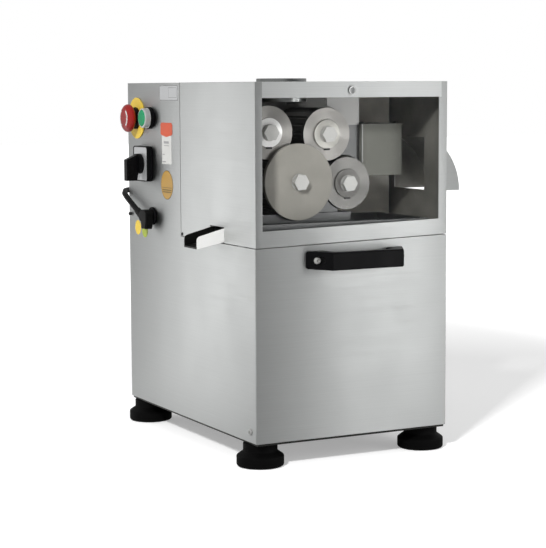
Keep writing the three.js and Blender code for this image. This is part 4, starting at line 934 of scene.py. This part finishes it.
def handle_screws():
    middle = middle_of("front_handle")[0]
    bm = bmesh.new()
    for x in (middle - HANDLE_FIXING, middle + HANDLE_FIXING):
        screw_into(bm, "y", (x, HANDLE_SCREW_FACE, HANDLE_SCREW_LEVEL), *HANDLE_SCREW, -1)
    add_piece("handle_screws", bm, "head", slot="bright_steel", smooth=30)


handle_screws()


# Rollers' flange and bolts

FLANGE_BORE = 6.3
HEAD_FLATS = 19
HEAD_HEIGHT = 7
WASHER_RADIUS = 11
WASHER_HEIGHT = 1
END_WASHER_RADIUS = 19
END_WASHER_HEIGHT = 1.6
KEY_DROP = 19.6
KEY_HEIGHT = 2.6
KEY_WIDTH = 8
KEY_PAST_WASHER = 0.2


def central_flange():
    (left, front, _), (right, back, _) = box_of("central_flange")
    radius = (right - left) / 2
    x, z = ROLLERS["central"]
    bore = FLANGE_BORE
    section = [(bore, front), (radius, front), (radius, back), (bore, back), (bore, front)]
    lathe("central_flange_turned", rounded_profile(section, 0.9), "y", (x, 0, z), "flange", 128,
          body="central_roller", slot="turned_steel", replaces=("central_flange",), smooth=40)


def hexagon_into(bm, x, z, front, back):
    corner = HEAD_FLATS / math.sqrt(3)
    angles = [math.radians(60 * i) for i in range(6)]
    outline = [(z + corner * math.sin(a), x + corner * math.cos(a)) for a in angles]
    head = extrude_into(bmesh.new(), outline, "y", front, back)
    round_edges(head, 0.9, 30, 3)
    take_in(bm, head)


def disc_into(bm, x, z, radius, front, back, segments):
    profile = rounded_profile([(0, front), (radius, front), (radius, back), (0, back)], 0.4)
    lathe_into(bm, profile, "y", (x, 0, z), segments)


def end_washer(key, body, front):
    x, z = ROLLERS[key]
    back = front + END_WASHER_HEIGHT
    disc = bmesh.new()
    disc_into(disc, x, z, END_WASHER_RADIUS, front, back, 80)
    add_piece("end_washer_" + key, disc, "washer_" + key, body, "bright_steel", smooth=35)
    outline = rounded_rectangle(z - KEY_DROP, x, KEY_HEIGHT, KEY_WIDTH, 0.4, 2)
    key_end = extrude_into(bmesh.new(), outline, "y", front, back + KEY_PAST_WASHER)
    add_piece("key_" + key, key_end, "screw", body, "black_plastic", smooth=30)


def bolt(key):
    x, z = ROLLERS[key]
    front = box_of("bolt_" + key)[0][1]
    back = front + HEAD_HEIGHT
    body = key + "_roller"
    head = bmesh.new()
    hexagon_into(head, x, z, front, back)
    disc_into(head, x, z, WASHER_RADIUS, back, back + WASHER_HEIGHT, 56)
    add_piece("bolt_" + key + "_head", head, "head", body, "bright_steel", ("bolt_" + key,), 28,
              weighted=True)
    if key != "central":
        end_washer(key, body, back + WASHER_HEIGHT)


central_flange()
for key in ROLLERS:
    bolt(key)


# Feed collar and lock

COLLAR_BORE = 31
COLLAR_RADIUS = 33
COLLAR_LIP = 0.4
COLLAR_FLANGE = 42
COLLAR_FLANGE_HEIGHT = 2
LOCK_RING = [(4.0, -1.4), (4.0, -1.8), (5.6, -1.8), (5.6, -1.4)]


def feed_collar():
    x, y, _ = middle_of("feed_collar")
    bottom, rim = (corner[2] for corner in box_of("feed_collar"))
    flange_top = TOP - SHEET - SEAT
    flange_bottom = flange_top - COLLAR_FLANGE_HEIGHT
    profile = [
        (COLLAR_BORE, bottom),
        (COLLAR_RADIUS, bottom),
        (COLLAR_RADIUS, flange_bottom),
        (COLLAR_FLANGE, flange_bottom),
        (COLLAR_FLANGE, flange_top),
        (COLLAR_RADIUS, flange_top),
        (COLLAR_RADIUS, rim - COLLAR_LIP),
        (COLLAR_RADIUS - 0.6, rim),
        (COLLAR_BORE + COLLAR_LIP, rim),
        (COLLAR_BORE, rim - COLLAR_LIP),
        (COLLAR_BORE, bottom),
    ]
    lathe("feed_collar_turned", rounded_profile(profile, 0.4), "z", (x, y, 0), "collar", 96,
          body="hood", slot="bright_steel", replaces=("feed_collar",), smooth=30)


def lock_ring():
    x, _, z = axis_of("lock_turn")
    lathe("lock_ring", rounded_profile(LOCK_RING, 0.3), "y", (x, 0, z), "bezel", 56,
          body=body_of("lock_cam"), slot="bright_steel")


feed_collar()
dressed("lock_cam", "chrome", "bright_steel", 0.25)
lock_ring()


# Controls on the left panel; x is negative outside

LEGEND_FRONT = -1.7
PLATE_DEPTH = -8
PLATE_REACH = 23.6
MUSHROOM_PROFILE = [
    (0, -22), (10, -21.7), (15.5, -20.3), (19, -17.6), (20, -15), (20, -12.2), (17.6, -9.6), (11, -9),
    (8, -9), (8, 0), (0, 0),
]
ARC_SPANS = ((125, 235), (-55, 55))
ARC_STEPS = 18
ARC_SECTION = ((11.5, -21.42), (13.5, -20.98), (13.5, -20.6), (11.5, -21.0))
BASE_RING = [(12.2, -0.3), (15.6, -0.3), (15.6, -6), (12.2, -6)]
CAP_PROFILE = [(0, -15), (10.5, -15), (11.5, -14), (11.5, -9.4), (0, -9.4)]


def legend_disc(x, y, z, normal):
    return LEGEND_FRONT < x < 0.1


def switch_plate(x, y, z, normal):
    _, middle, level = axis_of("cam_turn")
    across = max(abs(y - middle), abs(z - level))
    return normal.x < -0.9 and abs(x - PLATE_DEPTH) < 0.4 and across < PLATE_REACH


def mushroom_arcs(y, z):
    """Two curved marks on the mushroom that show which way it turns to come out."""
    bm = bmesh.new()
    for start, end in ARC_SPANS:
        rings = []
        for i in range(ARC_STEPS + 1):
            angle = math.radians(start + (end - start) * i / ARC_STEPS)
            back, up = math.cos(angle), math.sin(angle)
            rings.append([bm.verts.new(at(x, y + r * back, z + r * up)) for r, x in ARC_SECTION])
        for a, b in zip(rings, rings[1:]):
            for k in range(4):
                bm.faces.new([a[k], a[(k + 1) % 4], b[(k + 1) % 4], b[k]])
        bm.faces.new(rings[0])
        bm.faces.new(rings[-1])
    add_piece("stop_arcs", bm, "white", "stop_mushroom", "red_plastic", smooth=40)


def emergency_stop():
    _, y, z = middle_of("estop_button")
    dressed("estop_base", "black", "yellow_plastic", 0.25, zones=[("yellow", legend_disc)])
    lathe("stop_mushroom", rounded_profile(MUSHROOM_PROFILE, 1.4, 5), "x", (0, y, z), "red", 96,
          body="stop_mushroom", slot="red_plastic", replaces=("estop_button",), smooth=50)
    mushroom_arcs(y, z)


def start_button():
    _, y, z = middle_of("start_button")
    dressed("start_button_base", "bezel", "chrome_bezel", 0.3)
    lathe("start_base_ring", rounded_profile(BASE_RING, 0.4), "x", (0, y, z), "black", 80,
          slot="black_plastic")
    lathe("start_cap_turned", rounded_profile(CAP_PROFILE, 0.7), "x", (0, y, z), "green",
          body="start_cap", slot="green_plastic", replaces=("start_button",), smooth=40)


emergency_stop()
start_button()
dressed("cam_switch_body", "black", "black_plastic", 0.25, zones=[("silver", switch_plate)])
dressed("cam_switch_knob", "black", "black_plastic", 0.9, angle=28, segments=3, smooth=40)
dressed("power_inlet", "black", "black_plastic", 0.6, angle=28, segments=3, smooth=40)
dressed("cord_connector", "cord", "black_plastic", 1.1, angle=24, segments=3, smooth=40)


# Bare stickers and plates on the left panel; places are (y, z)

FILM = 0.12
BAR_FILM = 0.05
FILM_BASE = -0.02
GOLD_BASE = -0.1
HEAD_BASE = -0.16
GOLD_DISC = (273.1, 352.3)
GOLD_RADIUS = 19.4
SPOT_RADIUS = 10.5
YELLOW_SPOT = (378.1, 286.0)
LEAF_SPOT = (353.1, 283.5)
LABEL = (272.7, 401.5)
LABEL_SIZE = (31.6, 40)
LABEL_HEAD_LOW = (253.0, 421.4)
LABEL_HEAD_HIGH = (292.7, 438.8)
LABEL_POINT = (272.9, 419.0)
PLATE = (264, 480)
PLATE_SIZE = (62, 20.7)


def sticker(name, outline, material, base=FILM_BASE):
    bm = extrude_into(bmesh.new(), outline, "x", base - FILM, base)
    add_piece(name, bm, material, smooth=30)


def disc_outline(place, radius, count=64):
    angles = [2 * math.pi * i / count for i in range(count)]
    return [(place[0] + radius * math.cos(a), place[1] + radius * math.sin(a)) for a in angles]


def bars(name, place, rows, material, base):
    """Thin bars; a row gives a bar's offset along and up from the place, its width and its height."""
    bm = bmesh.new()
    for along, up, width, height in rows:
        corner = min(width, height) * 0.2
        outline = rounded_rectangle(place[0] + along, place[1] + up, width, height, corner, 2)
        extrude_into(bm, outline, "x", base - BAR_FILM, base)
    add_piece(name, bm, material, smooth=30)


def gold_disc():
    sticker("gold_disc_rim", disc_outline(GOLD_DISC, GOLD_RADIUS + 1), "gold_line")
    sticker("gold_disc", disc_outline(GOLD_DISC, GOLD_RADIUS), "gold", GOLD_BASE)
    rows = [(0, -6.9, 31, 1.6), (0, -9.9, 30, 1.6), (0, -3.7, 33, 0.9)]
    bars("gold_disc_lines", GOLD_DISC, rows, "gold_line", GOLD_BASE - FILM)


def label():
    """A white label with an orange head that comes to a blunt point below."""
    low, bottom = LABEL_HEAD_LOW
    high, top = LABEL_HEAD_HIGH
    head = [
        (low, bottom + 2), (low, top - 3), (low + 3, top), (high - 3, top), (high, top - 3),
        (high, bottom + 2), (high - 3, bottom), LABEL_POINT, (low + 3, bottom),
    ]
    sticker("label_body", rounded_rectangle(*LABEL, *LABEL_SIZE, 1), "white")
    sticker("label_head", head, "orange", HEAD_BASE)
    rows = [(0.8, 10, 17, 3.4), (0.8, 5.5, 17, 1.2), (10.3, -6.9, 8, 1.2), (8.8, -16.9, 12, 1.8)]
    bars("label_bars", LABEL, rows, "grey", FILM_BASE - FILM)


def bare_plate():
    sticker("bare_plate", rounded_rectangle(*PLATE, *PLATE_SIZE, 1.5), "silver")
    border = [(0, 10, 61, 0.7), (0, -10, 61, 0.7), (-30.4, 0, 0.8, 19), (30.4, 0, 0.8, 19)]
    field = [(-13, -6.4, 27, 0.5), (-13, 7.2, 27, 0.5), (-26.4, 0.4, 0.5, 14), (0.4, 0.4, 0.5, 14)]
    bars("bare_plate_lines", PLATE, border + field, "plate_line", FILM_BASE - FILM)


gold_disc()
sticker("earth_disc", disc_outline(YELLOW_SPOT, SPOT_RADIUS), "yellow")
sticker("leaf_disc", disc_outline(LEAF_SPOT, SPOT_RADIUS), "leaf")
label()
bare_plate()


# Small screws, the earth stud, the hood's rivet and a painted highlight strip on the duct's edge

LOW_SCREWS = 47.8
LEFT_SCREW = 18
RIGHT_SCREWS = (60, 150)
BACK_ACROSS = (30, 142, 255)
BACK_UP = (60, 478)
DUCT_SCREWS = (4.5, 56.5)
DUCT_SCREW_DEPTH = 9
PANEL_SCREW = (4.4, 1.8)
BACK_SCREW = (4, 1.6)
DUCT_SCREW = (3.6, 3)
RIVET = (2.2, 0.9)
EARTH_STUD = (402.5, 304.4)
STUD_PROFILE = [(0, -4), (2.3, -4), (2.3, 0), (0, 0)]
HOOD_RIVET = (222.9, 287.6)
# Size of the bright strip that stands as a painted highlight on the duct's left front edge
HIGHLIGHT_WIDTH = 1.5
HIGHLIGHT_DEPTH = 1.2
HIGHLIGHT_BOTTOM = 387.6


def panel_screws():
    bm = bmesh.new()
    screw_into(bm, "x", (0, LEFT_SCREW, LOW_SCREWS), *PANEL_SCREW, -1, 24)
    for x in BACK_ACROSS:
        for z in BACK_UP:
            screw_into(bm, "y", (x, DEPTH, z), *BACK_SCREW, 1, 24)
    for y in RIGHT_SCREWS:
        screw_into(bm, "x", (WIDTH, y, LOW_SCREWS), *PANEL_SCREW, 1, 24)
    add_piece("panel_screws", bm, "bright", slot="bright_steel", smooth=30)


def dark_screws():
    bm = bmesh.new()
    lathe_into(bm, rounded_profile(STUD_PROFILE, 0.7), "x", (0, *EARTH_STUD), 24)
    for across in DUCT_SCREWS:
        place = (duct_low[0] + across, duct_low[1] + DUCT_SCREW_DEPTH, duct_high[2])
        screw_into(bm, "z", place, *DUCT_SCREW, 1, 20)
    add_piece("dark_screws", bm, "screw", slot="black_plastic", smooth=30)


def hood_rivet():
    bm = bmesh.new()
    screw_into(bm, "x", (0, *HOOD_RIVET), *RIVET, -1, 20)
    add_piece("hood_rivet", bm, "screw", "hood", "black_plastic", smooth=30)


def duct_edge_highlight():
    """A bright strip along the duct's left front edge: a painted highlight."""
    outline = rounded_rectangle(duct_low[0] + 0.6, duct_low[1] - 0.4, HIGHLIGHT_WIDTH, HIGHLIGHT_DEPTH, 0.4, 2)
    bm = extrude_into(bmesh.new(), outline, "z", HIGHLIGHT_BOTTOM, duct_high[2] - 0.6)
    add_piece("duct_edge_highlight", bm, "painted_highlight", slot="sheet_steel", smooth=30)


panel_screws()
dark_screws()
hood_rivet()
duct_edge_highlight()


# Floor, light and backdrop; places here are in the frame's metres

WHITE = (1, 1, 1, 1)
FLOOR_REACH = 12
FLOOR_DROP = 0.0005
SOFT_STRENGTH = 0.5
DARK_HEADING = (0.46, -0.888, 0)
METAL_FIELDS = (
    {"start": 0.75, "end": 0.97, "low": 0.8, "high": 0.16},
    {"start": -0.96, "end": -0.88, "low": 0.5, "high": 0.8},
)


def larger(material, first, second):
    return maths(material, "MAXIMUM", first, second)


def floor_tone(material, path, depth):
    """The matt floor's own tone, which is darker towards the lens for what shiny metal sees."""
    direct = maths(material, "SUBTRACT", 1.0, path.outputs["Is Glossy Ray"])
    pale = maths(material, "MULTIPLY", direct, 0.8)
    tone = larger(material, pale, spread(material, depth, 0.28, 0.66, start=-0.25, end=0.3))
    grey = add_node(material, "ShaderNodeCombineColor", {"Red": tone, "Green": tone, "Blue": tone})
    return grey.outputs["Color"]


def floor_glow(material, path, place, depth):
    """Tops the floor up, to white far from the object for the lens, and a little for metal and glass."""
    through = larger(material, path.outputs["Is Glossy Ray"], path.outputs["Is Transmission Ray"])
    mirrored = maths(material, "MULTIPLY", through, spread(material, depth, 0.0, 0.1, start=-0.3, end=0.5))
    away = add_node(material, "ShaderNodeVectorMath", {0: place}, operation="LENGTH").outputs["Value"]
    topped = spread(material, away, 0.34, 1.0, start=0.75, end=2.0)
    seen = maths(material, "MULTIPLY", path.outputs["Is Camera Ray"], topped)
    return larger(material, mirrored, seen)


def floor_material():
    material = bpy.data.materials.new("floor_white")
    material.use_nodes = True
    material.node_tree.nodes.clear()
    path = add_node(material, "ShaderNodeLightPath")
    place = add_node(material, "ShaderNodeNewGeometry").outputs["Position"]
    depth = add_node(material, "ShaderNodeSeparateXYZ", {"Vector": place}).outputs["Y"]
    matt = add_node(material, "ShaderNodeBsdfDiffuse", {"Color": floor_tone(material, path, depth)})
    glow = add_node(material, "ShaderNodeEmission", {"Strength": floor_glow(material, path, place, depth)})
    both = add_node(material, "ShaderNodeAddShader", {0: matt.outputs["BSDF"], 1: glow.outputs["Emission"]})
    add_node(material, "ShaderNodeOutputMaterial", {"Surface": both.outputs["Shader"]})
    return material


def floor():
    bm = bmesh.new()
    bmesh.ops.create_grid(bm, x_segments=1, y_segments=1, size=FLOOR_REACH)
    mesh = bpy.data.meshes.new("floor")
    bm.to_mesh(mesh)
    bm.free()
    obj = bpy.data.objects.new("floor", mesh)
    bpy.context.scene.collection.objects.link(obj)
    obj.location.z = -FLOOR_DROP
    mesh.materials.append(floor_material())


def lamp(name, place, target, size, power, mirrored=True):
    """A rectangular lamp; an unmirrored one isn't seen in reflections."""
    data = bpy.data.lights.new(name, "AREA")
    data.shape = "RECTANGLE"
    data.size, data.size_y = size
    data.energy = power
    obj = bpy.data.objects.new(name, data)
    bpy.context.scene.collection.objects.link(obj)
    obj.location = place
    obj.rotation_euler = (Vector(target) - Vector(place)).to_track_quat("-Z", "Y").to_euler()
    obj.visible_camera = False
    obj.visible_glossy = mirrored


def strength_in_metal(studio):
    """What metal sees of the surroundings: white, and darker at the front right and at the rear left."""
    source = add_node(studio, "ShaderNodeTexCoord").outputs["Generated"]
    level = add_node(studio, "ShaderNodeVectorMath", {0: source, 1: (1, 1, 0)}, operation="MULTIPLY")
    heading = add_node(studio, "ShaderNodeVectorMath", {0: level.outputs["Vector"]}, operation="NORMALIZE")
    toward = add_node(
        studio,
        "ShaderNodeVectorMath",
        {0: heading.outputs["Vector"], 1: DARK_HEADING},
        operation="DOT_PRODUCT",
    )
    first, second = (spread(studio, toward.outputs["Value"], **field) for field in METAL_FIELDS)
    return maths(studio, "MINIMUM", first, second)


def world():
    """Soft white surroundings that the lens sees as white."""
    studio = bpy.data.worlds.new("studio")
    bpy.context.scene.world = studio
    studio.use_nodes = True
    nodes = studio.node_tree.nodes
    soft = nodes["Background"]
    soft.inputs["Color"].default_value = WHITE
    soft.inputs["Strength"].default_value = SOFT_STRENGTH
    mirrored = add_node(studio, "ShaderNodeBackground", {"Strength": strength_in_metal(studio)})
    seen = add_node(studio, "ShaderNodeBackground", {"Color": WHITE, "Strength": 1.0})
    path = add_node(studio, "ShaderNodeLightPath")
    backgrounds = {1: soft.outputs["Background"], 2: mirrored.outputs["Background"]}
    glossy = add_node(studio, "ShaderNodeMixShader", {"Fac": path.outputs["Is Glossy Ray"], **backgrounds})
    straight = larger(studio, path.outputs["Is Camera Ray"], path.outputs["Is Transmission Ray"])
    shaders = {1: glossy.outputs["Shader"], 2: seen.outputs["Background"]}
    mix = add_node(studio, "ShaderNodeMixShader", {"Fac": straight, **shaders})
    studio.node_tree.links.new(mix.outputs["Shader"], nodes["World Output"].inputs["Surface"])


floor()
lamp("key", (-1.9, -1.95, 1.8), (0, 0, 0.2), (0.28, 0.28), 104, mirrored=False)
lamp("front_glint", (0.55, -1.04, 0.26), (0.05, -0.19, 0.22), (0.2, 0.48), 1.42)
lamp("side_glint", (-0.45, 0.535, 0.28), (-0.15, -0.09, 0.25), (0.12, 0.55), 0.315)
lamp("roller_glint", (0.95, -0.85, 0.40), (-0.02, -0.14, 0.40), (0.15, 0.15), 1.3)
world()
bpy.context.scene.view_settings.view_transform = "Standard"
